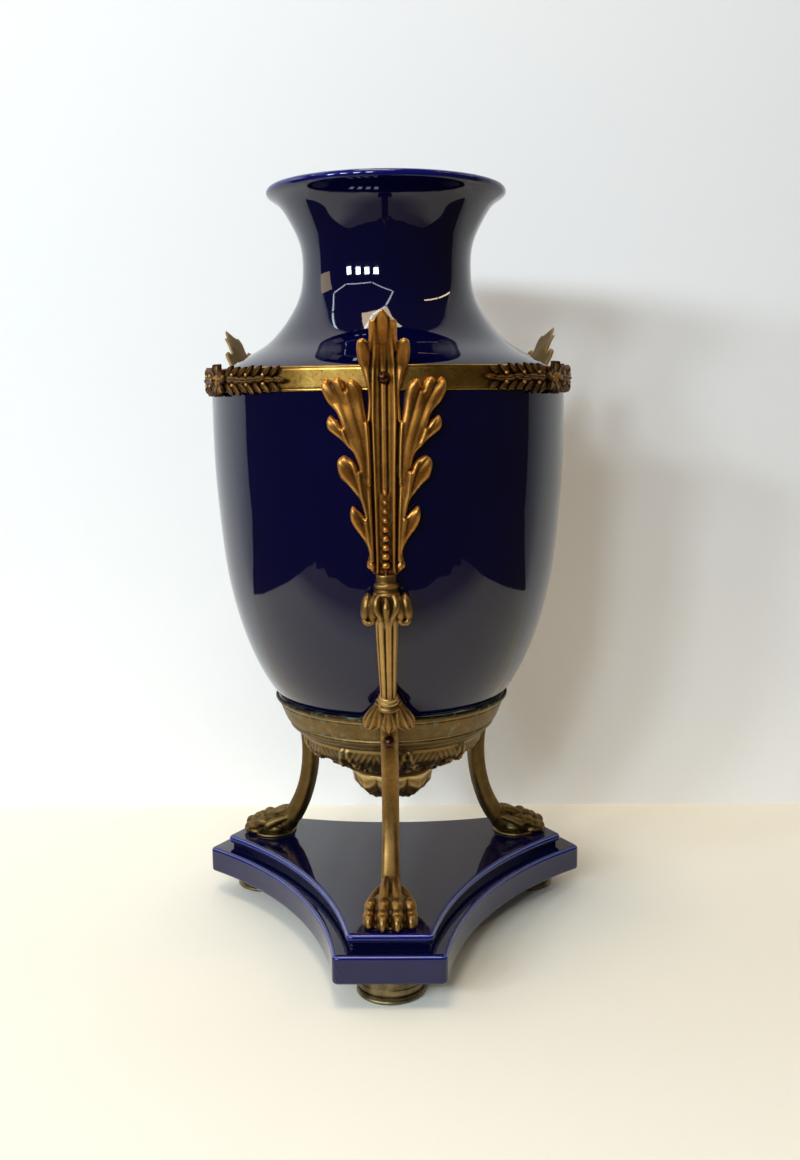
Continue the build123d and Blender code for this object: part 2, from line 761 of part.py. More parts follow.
def make_rim():
    """The flared rim of the bowl, tapped for the three knee bolts."""
    outside = rim_outside()
    inner = [(rim_lip_r - rim_lip_t, rim_top)] + [(r - rim_t, z) for r, z in outside[1:-1]]
    flange = [(cup_r - cup_t, outside[-2][1]), (cup_r - cup_t, rim_z)]
    rim = turned_ring(outside + flange[::-1] + inner[::-1])
    bolt_z = knee_point().Z - knee_bolt_drop
    for turn in leg_turns:
        rim -= at_leg(rod_along(point(cup_r, bolt_z), point(rim_lip_r + overrun, bolt_z),
                                knee_bolt_r + thread_gap), turn)
    return rim


def cup_outside():
    """The points down the outside of the cup, from its brim to the boss."""
    return [point(cup_r, rim_z)] + [point(boss_r + (cup_r - boss_r) * r, cup_z + cup_h * z)
                                    for r, z in cup_shares] + [point(boss_r, cup_z)]


def make_cup():
    """The cast cup under the rim, with a flat floor and a hole for the tie rod."""
    outside = cup_outside()
    brim = point(cup_r - cup_t, rim_z)
    inside_z = cup_z + cup_t
    cove = point(cup_floor_r, inside_z + cup_cove_h)
    inner = Spline(brim, point(cup_r - cup_shoulder_t, rim_z - cup_shoulder_drop), cove,
                   tangents=[(0, 0, -1), cup_cove_way])
    edges = [
        Spline(*outside),
        Line(outside[-1], point(0, cup_z)),
        Line(point(0, cup_z), point(0, inside_z)),
        Line(point(0, inside_z), point(cup_floor_r, inside_z)),
        Line(point(cup_floor_r, inside_z), cove),
        inner,
        Line(brim, outside[0]),
    ]
    cup = turned(edges)
    return cup - rod_along(point(0, cup_z - overrun), point(0, inside_z + overrun), rod_r + hole_gap)


def make_boss():
    """The rounded boss that hangs under the cup, tapped for the tie rod."""
    points = [point(boss_r, cup_z)] + [point(boss_r * r, boss_z + boss_h * z) for r, z in boss_shares]
    bottom = point(0, boss_z)
    edges = [Spline(*points, bottom, tangents=[boss_brim_way, (-1, 0, 0)]), Line(bottom, point(0, cup_z)),
             Line(point(0, cup_z), points[0])]
    boss = turned(edges)
    hole_floor = point(0, cup_z - rod_bite - hole_gap)
    return boss - rod_along(hole_floor, point(0, cup_z + overrun), rod_r + thread_gap)


def make_plaster():
    """The plaster that beds the vase in the bowl, a gap clear of both."""
    outside = rim_outside()
    wall = [(rim_lip_r - rim_lip_t - fit_gap, rim_top)] + [(r - rim_t - fit_gap, z) for r, z in outside[1:-1]]
    bottom_z = rim_z - plaster_low_drop
    low = [(cup_r - cup_t - fit_gap, outside[-2][1]), (cup_r - cup_t - fit_gap, rim_z),
           (cup_r - cup_shoulder_t - 2 * fit_gap, rim_z - cup_shoulder_drop), (plaster_low_r, bottom_z)]
    bed = turned_ring(wall + low + [(0, bottom_z), (0, rim_top)]) - grown_vase(fit_gap)
    return bed - rod_along(point(0, bottom_z - overrun), point(0, vase_z + overrun), rod_r + hole_gap)


# Fixings


def leaf_studs():
    """One stud for each leaf: its flat head is brazed behind the band and its shank passes the leaf."""
    seat = sqrt(band_in_r ** 2 - stud_head_r ** 2)
    head = rod_along(point(seat - stud_head_t, band_mid), point(seat, band_mid), stud_head_r)
    shank = rod_along(point(seat - stud_head_t, band_mid),
                      point(leaf_nut_seat_r() + dome_nut_h / 2, band_mid), stud_r)
    return [at_leg(head + shank, turn) for turn in leg_turns]


def capped_nut(radius, height, bore_r, bore_h):
    """A domed cap nut that stands on its flat face, pointing up."""
    skirt = height * nut_skirt_share
    dome_r = (radius ** 2 + (height - skirt) ** 2) / (2 * (height - skirt))
    shoulder = radius / 2
    shoulder_z = height - dome_r + sqrt(dome_r ** 2 - shoulder ** 2)
    edges = [Line((0, 0), (radius, 0)), Line((radius, 0), (radius, skirt)),
             ThreePointArc((radius, skirt), (shoulder, shoulder_z), (0, height)), Line((0, height), (0, 0))]
    nut = revolve(Plane.XZ * make_face(edges), Axis.Z)
    return nut - Cylinder(bore_r, 2 * bore_h)


def dome_nuts():
    """The domed nuts on the leaves' studs."""
    nut = capped_nut(dome_nut_r, dome_nut_h, stud_r + thread_gap, dome_nut_h / 2 + hole_gap)
    seat = Plane(origin=point(leaf_nut_seat_r(), band_mid), z_dir=(1, 0, 0))
    return [at_leg(seat * nut, turn) for turn in leg_turns]


def leaf_foot_pins():
    """A short pin from each neck ring up into the foot of its leaf."""
    x = leaf_foot_r()
    pin = rod_along(point(x, leaf_z - foot_stud_h / 2), point(x, leaf_z + foot_stud_h / 2), foot_stud_r)
    return [at_leg(pin, turn) for turn in leg_turns]


def knee_pins():
    """The hidden pins that join the shafts to the lower legs through the collars."""
    start, end = knee_pin_ends()
    return [at_leg(rod_along(start, end, pin_r), turn) for turn in leg_turns]


def knee_bolts():
    """A stud from the rim out through each knee."""
    bolt_z = knee_point().Z - knee_bolt_drop
    start = point(rim_r_at(bolt_z) - rim_grip, bolt_z)
    end = point(knee_seat_r() + knee_nut_h / 2, bolt_z)
    return [at_leg(rod_along(start, end, knee_bolt_r), turn) for turn in leg_turns]


def knee_nuts():
    """The cap nuts on the knees."""
    bolt_z = knee_point().Z - knee_bolt_drop
    nut = capped_nut(knee_nut_r, knee_nut_h, knee_bolt_r + thread_gap, knee_nut_h / 2 + hole_gap)
    seat = Plane(origin=point(knee_seat_r(), bolt_z), z_dir=(1, 0, 0))
    return [at_leg(seat * nut, turn) for turn in leg_turns]


def paw_studs():
    """A stud down from each paw through the plinth into its foot."""
    low_end = point(foot_circle_r, foot_floor + hole_gap)
    stud = rod_along(low_end, point(foot_circle_r, plinth_top + paw_stud_up), paw_stud_r)
    return [at_leg(stud, turn) for turn in leg_turns]


def make_rod():
    """The tie rod from the boss up through the cup, the plaster and the vase's floor."""
    top = vase_z + vase_floor + rod_leather_t + rod_washer_t + rod_nut_h + rod_above_nut
    return rod_along(point(0, cup_z - rod_bite), point(0, top), rod_r)


def disc_with_hole(radius, bottom_z, thickness, hole_r):
    """A flat round washer on the axis."""
    bottom, top = point(0, bottom_z), point(0, bottom_z + thickness)
    return rod_along(bottom, top, radius) - rod_along(bottom, top, hole_r)


def make_rod_nut(bottom_z):
    """The hexagon nut inside the vase."""
    hexagon = extrude(RegularPolygon(rod_nut_w / 2, 6, major_radius=False), rod_nut_h)
    return Pos(0, 0, bottom_z) * (hexagon - Cylinder(rod_r + thread_gap, 3 * rod_nut_h))


# Garlands


strip_r = belly_r + fit_gap
garland_seat_r = strip_r + strip_t - garland_seat_cut


def on_band(along, up):
    """A point of the plane that touches the band: its way along the band, and its height above the middle."""
    return Vector(0, strip_r * sin(along / strip_r), band_mid + up)


def laurel_face(side, along, up, size):
    """One pointed leaf that starts some way along the band and points away from the garland's middle."""
    splay = radians(laurel_splay * up)
    length, half_w = laurel_len * size, laurel_w * size / 2
    way = Vector(side * cos(splay), sin(splay))
    across = Vector(-way.Y, way.X)
    stem = Vector(side * along, laurel_offset * up)
    belly = stem + way * length * laurel_belly_share
    corners = (stem, belly + across * half_w, stem + way * length, belly - across * half_w)
    stem_at, above, tip, below = [on_band(corner.X, corner.Y) for corner in corners]
    return make_face([ThreePointArc(stem_at, below, tip), ThreePointArc(tip, above, stem_at)])


def laurel_tier(faces, lift):
    """A layer of the garland: its leaves' outlines, bent round the band at some height above it."""
    inner_r = strip_r + lift
    outer_r = inner_r + strip_t
    blank = extrude(faces[0], 2 * outer_r, dir=(1, 0, 0))
    blank += [extrude(face, 2 * outer_r, dir=(1, 0, 0)) for face in faces[1:]]
    low, high = band_mid - 2 * band_h, band_mid + 2 * band_h
    return blank & turned_ring([(inner_r, low), (outer_r, low), (outer_r, high), (inner_r, high)])


def make_garland():
    """A laurel spray each way from the middle, on a strip that follows the band."""
    half_span = strip_r * radians(garland_span / 2)
    strip_end = half_span * strip_span_share
    strip = make_face(Polyline(on_band(-strip_end, -strip_h / 2), on_band(strip_end, -strip_h / 2),
                               on_band(strip_end, strip_h / 2), on_band(-strip_end, strip_h / 2), close=True))
    tiers = [[strip], [], [], []]
    for row in range(laurel_rows):
        along_share = row / (laurel_rows - 1)
        along = half_span * (laurel_start_share + (laurel_last_share - laurel_start_share) * along_share)
        size = 1 + (laurel_last_size_share - 1) * along_share
        for side in (-1, 1):
            for up in (-1, 1):
                tiers[row % 2].append(laurel_face(side, along, up, size))
            tiers[2 + row % 2].append(laurel_face(side, along, 0, size))
    garland = merged([laurel_tier(faces, laurel_step_t * k) for k, faces in enumerate(tiers)])
    clear_r = strip_r + strip_t + laurel_step_t * len(tiers)
    for turn in garland_pin_turns():
        garland -= Rot(0, 0, turn) * rod_along(point(belly_r, band_mid), point(clear_r, band_mid),
                                               garland_pin_r + thread_gap)
        garland -= Rot(0, 0, turn) * rod_along(point(garland_seat_r, band_mid), point(clear_r, band_mid),
                                               garland_pin_head_r + hole_gap)
    garland -= rod_along(point(garland_seat_r, band_mid), point(clear_r, band_mid), rosette_r + hole_gap)
    return garland - rod_along(point(belly_r, band_mid), point(clear_r, band_mid), garland_pin_r + thread_gap)


def garland_pin_turns():
    """Where a garland's pins stand, in degrees each way from its middle."""
    turn = garland_span / 2 * garland_pin_share
    return [-turn, turn]


def garland_pins():
    """The small pins that hold each garland's two ends."""
    shank = rod_along(point(band_in_r, band_mid), point(garland_seat_r, band_mid), garland_pin_r)
    head = rod_along(point(garland_seat_r, band_mid), point(garland_seat_r + garland_pin_head_t, band_mid),
                     garland_pin_head_r)
    return [at_leg(Rot(0, 0, turn) * (shank + head), leg_turn + half_turn)
            for turn in garland_pin_turns() for leg_turn in leg_turns]


def make_rosette():
    """A five-petalled rosette with a round heart, drilled for its screw."""
    flower = Cylinder(rosette_disc_r, rosette_t, align=(Align.CENTER, Align.CENTER, Align.MIN))
    petal = Cylinder(rosette_petal_r, rosette_t, align=(Align.CENTER, Align.CENTER, Align.MIN))
    petal = fillet(petal.edges().group_by(Axis.Z)[-1], rosette_petal_edge_r)
    for k in range(rosette_petals):
        petal_turn = 90.0 + 360.0 * k / rosette_petals
        flower += Rot(0, 0, petal_turn) * Pos(rosette_r - rosette_petal_r, 0, 0) * petal
    room_w = 4 * rosette_heart_r
    heart_room = Pos(0, 0, room_w / 2) * Box(room_w, room_w, room_w)
    flower += Pos(0, 0, rosette_t) * Sphere(rosette_heart_r) & heart_room
    flower -= Cylinder(garland_pin_r + thread_gap, 4 * (rosette_t + rosette_heart_r))
    return Plane(origin=point(garland_seat_r, band_mid), x_dir=(0, 1, 0), z_dir=(1, 0, 0)) * flower


def rosette_screws():
    """The screws that hold the rosettes on, each with its head on the rosette's heart."""
    front = garland_seat_r + rosette_t + rosette_heart_r
    screw = rod_along(point(band_in_r, band_mid), point(front, band_mid), garland_pin_r)
    head_end = point(front + garland_pin_head_t, band_mid)
    screw += rod_along(point(front, band_mid), head_end, garland_pin_head_r)
    return [at_leg(screw, turn + half_turn) for turn in leg_turns]


def garland_holes():
    """The bores through the band for the garlands' pins and the rosettes' screws."""
    turns = [0.0] + garland_pin_turns()
    return [at_leg(Rot(0, 0, turn) * rod_along(point(rebate_r, band_mid), point(belly_r + overrun, band_mid),
                                               garland_pin_r + thread_gap), leg_turn + half_turn)
            for turn in turns for leg_turn in leg_turns]


# Plinth and feet


def plinth_outline(reach, corner_w, side):
    """A three-cornered outline with flat corner ends and concave sides."""
    corners = []
    edges = []
    for k in range(leg_count):
        mid = radians(360.0 * k / leg_count)
        out, across = Vector(cos(mid), sin(mid), 0), Vector(-sin(mid), cos(mid), 0)
        corners.append((out * reach - across * corner_w, out * reach + across * corner_w))
    for k in range(leg_count):
        right, left = corners[k]
        next_right = corners[(k + 1) % leg_count][0]
        mid = radians(360.0 * (k + 0.5) / leg_count)
        edges.append(Line(right, left))
        edges.append(ThreePointArc(left, Vector(cos(mid), sin(mid), 0) * side, next_right))
    return make_face(edges)


def slab(reach, corner_w, side, bottom_z, height):
    """One slab of the plinth with its upright corners rounded."""
    block = extrude(plinth_outline(reach, corner_w, side), height)
    block = fillet(block.edges().filter_by(Axis.Z), corner_r)
    return Pos(0, 0, bottom_z) * block


def make_plinth():
    """The glazed plinth: a deep lower slab, a set-back cove and a beaded upper slab."""
    lower = slab(lower_reach, lower_corner_w, lower_side, foot_h, lower_slab_h)
    lower = fillet(lower.edges().group_by(Axis.Z)[-1] + lower.edges().group_by(Axis.Z)[0], slab_edge_r)
    neck = slab(upper_reach - bead_set_back, upper_corner_w - bead_set_back / 2, upper_side - bead_set_back,
                cove_z, cove_h)
    upper = slab(upper_reach, upper_corner_w, upper_side, slab_z, upper_slab_h)
    upper = fillet(upper.edges().group_by(Axis.Z)[-1] + upper.edges().group_by(Axis.Z)[0], upper_edge_r)
    plinth = lower + neck + upper
    bore_end = point(foot_circle_r, plinth_top + overrun)
    bore = rod_along(point(foot_circle_r, foot_h - overrun), bore_end, paw_stud_r + hole_gap)
    for turn in leg_turns:
        plinth -= Rot(0, 0, turn) * bore
    return plinth


def make_foot():
    """A turned brass foot with a groove above its flange, tapped blind for the paw's stud."""
    groove_z = foot_flange_h
    body_z = groove_z + foot_groove_h
    edge = foot_r - foot_chamfer
    groove_r = foot_r - foot_groove_depth
    body_r = foot_r - foot_set_back
    outline = [(0, 0), (edge, 0), (foot_r, foot_chamfer), (foot_r, groove_z), (groove_r, groove_z),
               (groove_r, body_z), (body_r, body_z), (body_r, foot_h - foot_chamfer),
               (body_r - foot_chamfer, foot_h), (0, foot_h)]
    foot = turned_ring(outline)
    foot -= rod_along(point(0, foot_floor), point(0, foot_h + overrun), paw_stud_r + thread_gap)
    return Pos(foot_circle_r, 0, 0) * foot


def write(name, *shapes):
    """Write one node's solids to its file."""
    solids = [solid for shape in shapes for solid in shape.solids()]
    export_step(solids[0] if len(solids) == 1 else Compound(children=solids), "parts/" + name + ".step")


os.makedirs("parts", exist_ok=True)

band = make_band()
for hole in garland_holes():
    band -= hole
write("vase_body", make_vase())
write("shoulder_band", band)
write("bowl_rim", make_rim())
write("bowl_cup", make_cup())
write("pendant_boss", make_boss())
write("plaster_bed", make_plaster())
write("plinth", at_leg(make_plinth(), 0.0))

leg_parts = {"acanthus_leaf": make_leaf(), "leg_shaft": make_shaft(), "petal_collar": make_collar(),
             "paw_leg": make_paw_leg(), "foot": make_foot()}
for part_name, part in leg_parts.items():
    for leg_name, leg_turn in zip(leg_names, leg_turns):
        write(part_name + "_" + leg_name, at_leg(part, leg_turn))

garland_parts = {"laurel_garland": make_garland(), "rosette": make_rosette()}
for part_name, part in garland_parts.items():
    for garland_name, leg_turn in zip(garland_names, leg_turns):
        write(part_name + "_" + garland_name, at_leg(part, leg_turn + half_turn))

floor_z = vase_z + vase_floor
write("rod_leather", disc_with_hole(rod_leather_r, floor_z, rod_leather_t, rod_r + hole_gap))
write("rod_washer", disc_with_hole(rod_washer_r, floor_z + rod_leather_t, rod_washer_t, rod_r + hole_gap))
write("rod_nut", make_rod_nut(floor_z + rod_leather_t + rod_washer_t))
write("tie_rod", make_rod())
write("leaf_studs", *leaf_studs())
write("dome_nuts", *dome_nuts())
write("leaf_foot_pins", *leaf_foot_pins())
write("knee_pins", *knee_pins())
write("knee_bolts", *knee_bolts())
write("knee_nuts", *knee_nuts())
write("paw_studs", *paw_studs())
write("garland_pins", *garland_pins())
write("rosette_screws", *rosette_screws())
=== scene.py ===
from math import atan2, cos, pi, radians, sin, sqrt

import bmesh
import bpy
import numpy as np
from mathutils import Matrix, Vector


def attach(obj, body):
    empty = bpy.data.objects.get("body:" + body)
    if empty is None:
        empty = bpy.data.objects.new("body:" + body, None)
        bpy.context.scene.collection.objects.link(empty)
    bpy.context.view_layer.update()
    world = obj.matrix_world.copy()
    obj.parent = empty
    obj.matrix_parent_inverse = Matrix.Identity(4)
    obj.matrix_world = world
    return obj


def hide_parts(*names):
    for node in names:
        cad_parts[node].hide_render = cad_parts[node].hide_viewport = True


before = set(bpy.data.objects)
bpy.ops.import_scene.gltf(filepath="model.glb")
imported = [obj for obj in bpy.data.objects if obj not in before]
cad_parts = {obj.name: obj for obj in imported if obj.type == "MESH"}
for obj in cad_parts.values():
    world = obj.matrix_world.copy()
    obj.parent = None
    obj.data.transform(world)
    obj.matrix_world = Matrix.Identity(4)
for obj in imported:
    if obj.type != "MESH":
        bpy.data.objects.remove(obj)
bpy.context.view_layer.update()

# An urn vase in cast bronze mounts. Lengths are in millimetres here, in the frame's own axes, and become
# metres when a mesh is made. The front leg is towards -Y, and a leg's parts are drawn with +X outwards.

MM = 0.001
scene = bpy.context.scene
scene.view_settings.view_transform = "Standard"

# Heights, from the table up
foot_h = 15.5
lower_slab_h = 18.3
cove_h = 3.0
upper_slab_h = 5.7
boss_gap = 47.0
boss_h = 19.7
cup_h = 28.8
rim_h = 26.8
vase_seat_h = 3.0
belly_h = 228.4
shoulder_h = 79.6
flare_h = 51.0

cove_z = foot_h + lower_slab_h
slab_z = cove_z + cove_h
plinth_top = slab_z + upper_slab_h
boss_z = plinth_top + boss_gap
cup_z = boss_z + boss_h
rim_z = cup_z + cup_h
rim_top = rim_z + rim_h
vase_z = rim_z + vase_seat_h
band_z = vase_z + belly_h
band_h = 14.9
band_top = band_z + band_h
band_mid = band_z + band_h / 2
neck_z = band_z + shoulder_h
vase_top = neck_z + flare_h

leg_names = ["front", "rear_right", "rear_left"]
leg_turns = [0.0, 120.0, 240.0]
garland_names = ["front_right", "back", "front_left"]
half_turn = 60.0


# Mesh tools


def array(points):
    return np.array(points, float)


def unit(vector):
    return vector / np.linalg.norm(vector)


def full_turn(count):
    """Angles in radians that share a full turn evenly."""
    return np.arange(count) * 2 * pi / count


def run_along(line):
    """The length along a line of points up to each of them."""
    return np.concatenate([[0], np.cumsum(np.linalg.norm(np.diff(line, axis=0), axis=1))])


def smooth_line(points, count, start_way=None, end_way=None):
    """Samples of the smooth curve through some points, in any number of dimensions."""
    p = array(points)
    gaps = np.linalg.norm(np.diff(p, axis=0), axis=1)
    n = len(p)
    system, right = np.zeros((n, n)), np.zeros_like(p)
    for i in range(1, n - 1):
        before, after = gaps[i - 1], gaps[i]
        system[i, i - 1:i + 2] = [1 / before, 2 / before + 2 / after, 1 / after]
        right[i] = 3 * ((p[i] - p[i - 1]) / before ** 2 + (p[i + 1] - p[i]) / after ** 2)
    for row, neighbour, gap, way in ((0, 1, gaps[0], start_way), (n - 1, n - 2, gaps[-1], end_way)):
        system[row, row] = 1 if way is not None else 2
        if way is None:
            system[row, neighbour] = 1
            right[row] = 3 * (p[max(row, neighbour)] - p[min(row, neighbour)]) / gap
        else:
            right[row] = unit(array(way))
    ways = np.linalg.solve(system, right)
    knots = np.concatenate([[0], np.cumsum(gaps)])
    at = np.linspace(0, knots[-1], count)
    span = np.clip(np.searchsorted(knots, at, side="right") - 1, 0, n - 2)
    gap = gaps[span]
    s = ((at - knots[span]) / gap)[:, None]
    gap = gap[:, None]
    return ((2 * s ** 3 - 3 * s ** 2 + 1) * p[span] + (s ** 3 - 2 * s ** 2 + s) * gap * ways[span]
            + (3 * s ** 2 - 2 * s ** 3) * p[span + 1] + (s ** 3 - s ** 2) * gap * ways[span + 1])


def normals_of(line):
    """Unit normals to the right of an open line in a plane."""
    way = np.gradient(line, axis=0)
    way /= np.linalg.norm(way, axis=1)[:, None]
    return np.stack([way[:, 1], -way[:, 0]], 1)


def grid_faces(rows, columns, wrap_rows=False):
    """Quads between the rows of a grid of vertices whose rows run full circle."""
    faces = []
    for i in range(rows if wrap_rows else rows - 1):
        for j in range(columns):
            k, m = (i + 1) % rows, (j + 1) % columns
            faces.append((i * columns + j, i * columns + m, k * columns + m, k * columns + j))
    return faces


def plate(front, under):
    """A closed plate from two grids of points, its front and its underside."""
    rows, columns = front.shape[:2]
    faces = grid_faces(rows, 2 * columns)
    for row in (0, rows - 1):
        base = row * 2 * columns
        for j in range(columns - 1):
            quad = (base + j, base + j + 1, base + 2 * columns - 2 - j, base + 2 * columns - 1 - j)
            faces.append(quad if row else quad[::-1])
    return np.concatenate([front, under[:, ::-1]], 1).reshape(-1, 3), faces


def turned(outline, segments, lift=None, closed=False):
    """A full turn of a (radius, height) outline. Its ends close at the axis, or on each other when closed.
    lift gives how far each point of the grid of rows and turns stands proud of the outline."""
    outline = array(outline)
    turns = full_turn(segments)
    radius = outline[:, 0][:, None] + np.zeros(segments)
    height = outline[:, 1][:, None] + np.zeros(segments)
    if lift is not None:
        out = normals_of(outline)
        amount = lift(outline, turns)
        radius = radius + out[:, 0][:, None] * amount
        height = height + out[:, 1][:, None] * amount
    verts = np.stack([radius * np.cos(turns), radius * np.sin(turns), height], 2).reshape(-1, 3)
    faces = grid_faces(len(outline), segments, wrap_rows=closed)
    if closed:
        return verts, faces
    first, last = len(verts), len(verts) + 1
    verts = np.concatenate([verts, [[0, 0, outline[0, 1]], [0, 0, outline[-1, 1]]]])
    base = (len(outline) - 1) * segments
    for j in range(segments):
        m = (j + 1) % segments
        faces.append((first, m, j))
        faces.append((last, base + j, base + m))
    return verts, faces


def round_end(rings, faces, columns, start_tip, end_tip):
    """Adds a tip to each end of a tube whose rings all have the same number of columns."""
    verts = np.concatenate([rings.reshape(-1, 3), [start_tip, end_tip]])
    rows = len(rings)
    first, last = rows * columns, rows * columns + 1
    for j in range(columns):
        m = (j + 1) % columns
        faces.append((first, m, j))
        faces.append((last, (rows - 1) * columns + j, (rows - 1) * columns + m))
    return verts, faces


def tube(path, radii, columns=20, square=2.0, section=None):
    """A closed round-ended bar along a path. square above 2 makes its section boxy, and section gives an
    outline in place of it."""
    path = array(path)
    way = np.gradient(path, axis=0)
    way /= np.linalg.norm(way, axis=1)[:, None]
    radii = np.broadcast_to(array(radii), len(path))
    side = array((0, 1, 0))
    turns = full_turn(columns)
    c, s = np.cos(turns), np.sin(turns)
    power = 2.0 / square
    ring_u = np.sign(c) * np.abs(c) ** power
    ring_v = np.sign(s) * np.abs(s) ** power
    if section is not None:
        ring_u, ring_v = section
        columns = len(ring_u)
    rings = []
    for p, w, r in zip(path, way, radii):
        u = unit(side - w * (side @ w))
        v = np.cross(w, u)
        rings.append(p + r * (np.outer(ring_u, u) + np.outer(ring_v, v)))
    rings = array(rings)
    first_tip = -way[0] * radii[0]
    last_tip = way[-1] * radii[-1]
    start, end = [], []
    for lean in (pi / 8, pi / 4, 3 * pi / 8):
        start.insert(0, path[0] + (rings[0] - path[0]) * cos(lean) + first_tip * sin(lean))
        end.append(path[-1] + (rings[-1] - path[-1]) * cos(lean) + last_tip * sin(lean))
    rings = np.concatenate([array(start), rings, array(end)])
    tips = path[0] + first_tip, path[-1] + last_tip
    return round_end(rings, grid_faces(len(rings), columns), columns, *tips)


def egg(centre, size, turn=0.0, lean=0.0, roll=0.0):
    """A closed ellipsoid with its half sizes along its own axes, turned by angles in degrees."""
    rows, columns = 12, 20
    lat = np.radians(np.linspace(-90, 90, rows + 2)[1:-1])
    lon = full_turn(columns)
    rings = np.stack([np.outer(np.cos(lat), np.cos(lon)), np.outer(np.cos(lat), np.sin(lon)),
                      np.outer(np.sin(lat), np.ones(columns))], 2)
    verts, faces = round_end(rings, grid_faces(rows, columns), columns, (0, 0, -1), (0, 0, 1))
    spin = Matrix.Rotation(radians(turn), 3, "Z") @ Matrix.Rotation(radians(lean), 3, "Y") @ Matrix.Rotation(
        radians(roll), 3, "X")
    return (verts * array(size)) @ array(spin).T + array(centre), faces


def joined(parts):
    """One list of vertices and faces from several."""
    verts, faces, start = [], [], 0
    for part_verts, part_faces in parts:
        verts.append(part_verts)
        faces += [tuple(v + start for v in f) for f in part_faces]
        start += len(part_verts)
    return np.concatenate(verts), faces


def edge_pairs(faces):
    """Both ends of every edge, in both directions."""
    pairs = [(a, b) for f in faces for a, b in zip(f, f[1:] + f[:1])]
    pairs = array(pairs).astype(int)
    return np.concatenate([pairs, pairs[:, ::-1]])


def relaxed(values, pairs, passes, strength=0.5):
    """Values on vertices, each moved towards its neighbours' mean a number of times."""
    count = np.bincount(pairs[:, 0], minlength=len(values)).astype(float)
    count[count == 0] = 1
    values = array(values)
    for _ in range(passes):
        if values.ndim == 1:
            mean = np.bincount(pairs[:, 0], values[pairs[:, 1]], len(values)) / count
        else:
            mean = np.stack([np.bincount(pairs[:, 0], values[pairs[:, 1], k], len(values)) / count
                             for k in range(3)], 1)
        values = values + strength * (mean - values)
    return values


def vertex_normals(verts, faces):
    """Unit normals, from the faces round each vertex."""
    mesh = bpy.data.meshes.new("measure")
    mesh.from_pydata(verts.tolist(), [], faces)
    normals = np.zeros(len(verts) * 3, np.float32)
    mesh.vertex_normals.foreach_get("vector", normals)
    bpy.data.meshes.remove(mesh)
    return normals.reshape(-1, 3).astype(float)


def added(name, data):
    """A new object in the scene that shows a mesh, a lamp or a camera."""
    made = bpy.data.objects.new(name, data)
    scene.collection.objects.link(made)
    return made


def melted(parts, voxel=0.5, passes=3):
    """One closed skin over overlapping closed parts, with its creases softened."""
    verts, faces = joined(parts)
    mesh = bpy.data.meshes.new("melt")
    mesh.from_pydata(verts.tolist(), [], faces)
    lump = added("melt", mesh)
    skin = lump.modifiers.new("skin", "REMESH")
    skin.mode = "VOXEL"
    skin.voxel_size = voxel
    graph = bpy.context.evaluated_depsgraph_get()
    result = lump.evaluated_get(graph).to_mesh()
    out = np.zeros(len(result.vertices) * 3, np.float32)
    result.vertices.foreach_get("co", out)
    out = out.reshape(-1, 3).astype(float)
    out_faces = [tuple(p.vertices) for p in result.polygons]
    bpy.data.objects.remove(lump)
    bpy.data.meshes.remove(mesh)
    pairs = edge_pairs(out_faces)
    for _ in range(passes):
        out = relaxed(out, pairs, 1, 0.5)
        out = relaxed(out, pairs, 1, -0.5)
        out = relaxed(out, pairs, 1, 0.4)
    return out, out_faces


def hollows(verts, faces, size, passes=10):
    """How raised or sunken each vertex is beside its surroundings: 0 deep, 0.5 level, 1 proud."""
    pairs = edge_pairs(faces)
    normals = vertex_normals(verts, faces)
    height = np.einsum("ij,ij->i", verts - relaxed(verts, pairs, passes, 0.8), normals)
    return np.clip(0.5 + relaxed(height, pairs, 1, 0.5) / (2 * size), 0, 1)


def at_leg(verts, turn):
    """Vertices that were drawn with +X outwards, turned to the azimuth turn degrees from the front."""
    a = radians(turn - 90.0)
    spin = array([[cos(a), -sin(a), 0], [sin(a), cos(a), 0], [0, 0, 1]])
    return verts @ spin.T


def piece(name, shape, material, slot, stands_for, relief_size=None, thin_and_highlight=None, crease=None):
    """A Blender object from vertices in millimetres, riding on the root body in place of its CAD nodes."""
    verts, faces = shape
    mesh = bpy.data.meshes.new(name)
    mesh.from_pydata((verts * MM).tolist(), [], faces)
    mesh.validate()
    relief = None if relief_size is None else hollows(verts, faces, relief_size)
    # The glaze's paleness per vertex: paler where the glaze runs thinner, and a painted highlight on the lip
    # and the arrises.
    for layer_name, values in (("relief", relief), ("thin_and_highlight", thin_and_highlight)):
        if values is not None:
            layer = mesh.attributes.new(layer_name, "FLOAT", "POINT")
            layer.data.foreach_set("value", array(values).astype(np.float32))
    mesh.shade_smooth()
    if crease is not None:
        mesh.set_sharp_from_angle(angle=radians(crease))
    mesh.materials.append(material)
    made = added(name, mesh)
    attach(made, "root")
    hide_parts(*stands_for)
    return made


def three(prefix, names, shape, first_look, other_look, slot, node, start=0.0, **options):
    """The same piece at three places, start degrees round from the legs, the first in a look of its own."""
    verts, faces = shape
    for name, turn in zip(names, leg_turns):
        material = first_look if name == names[0] else other_look
        piece(prefix + name, (at_leg(verts, turn + start), faces), material, slot, [node + name], **options)


# Materials


def linear(red, green, blue):
    """A colour given as it looks on a screen, from 0 to 255, as a shader's colour."""
    shares = (red / 255, green / 255, blue / 255)
    return tuple(s / 12.92 if s <= 0.04 else ((s + 0.055) / 1.055) ** 2.4 for s in shares)


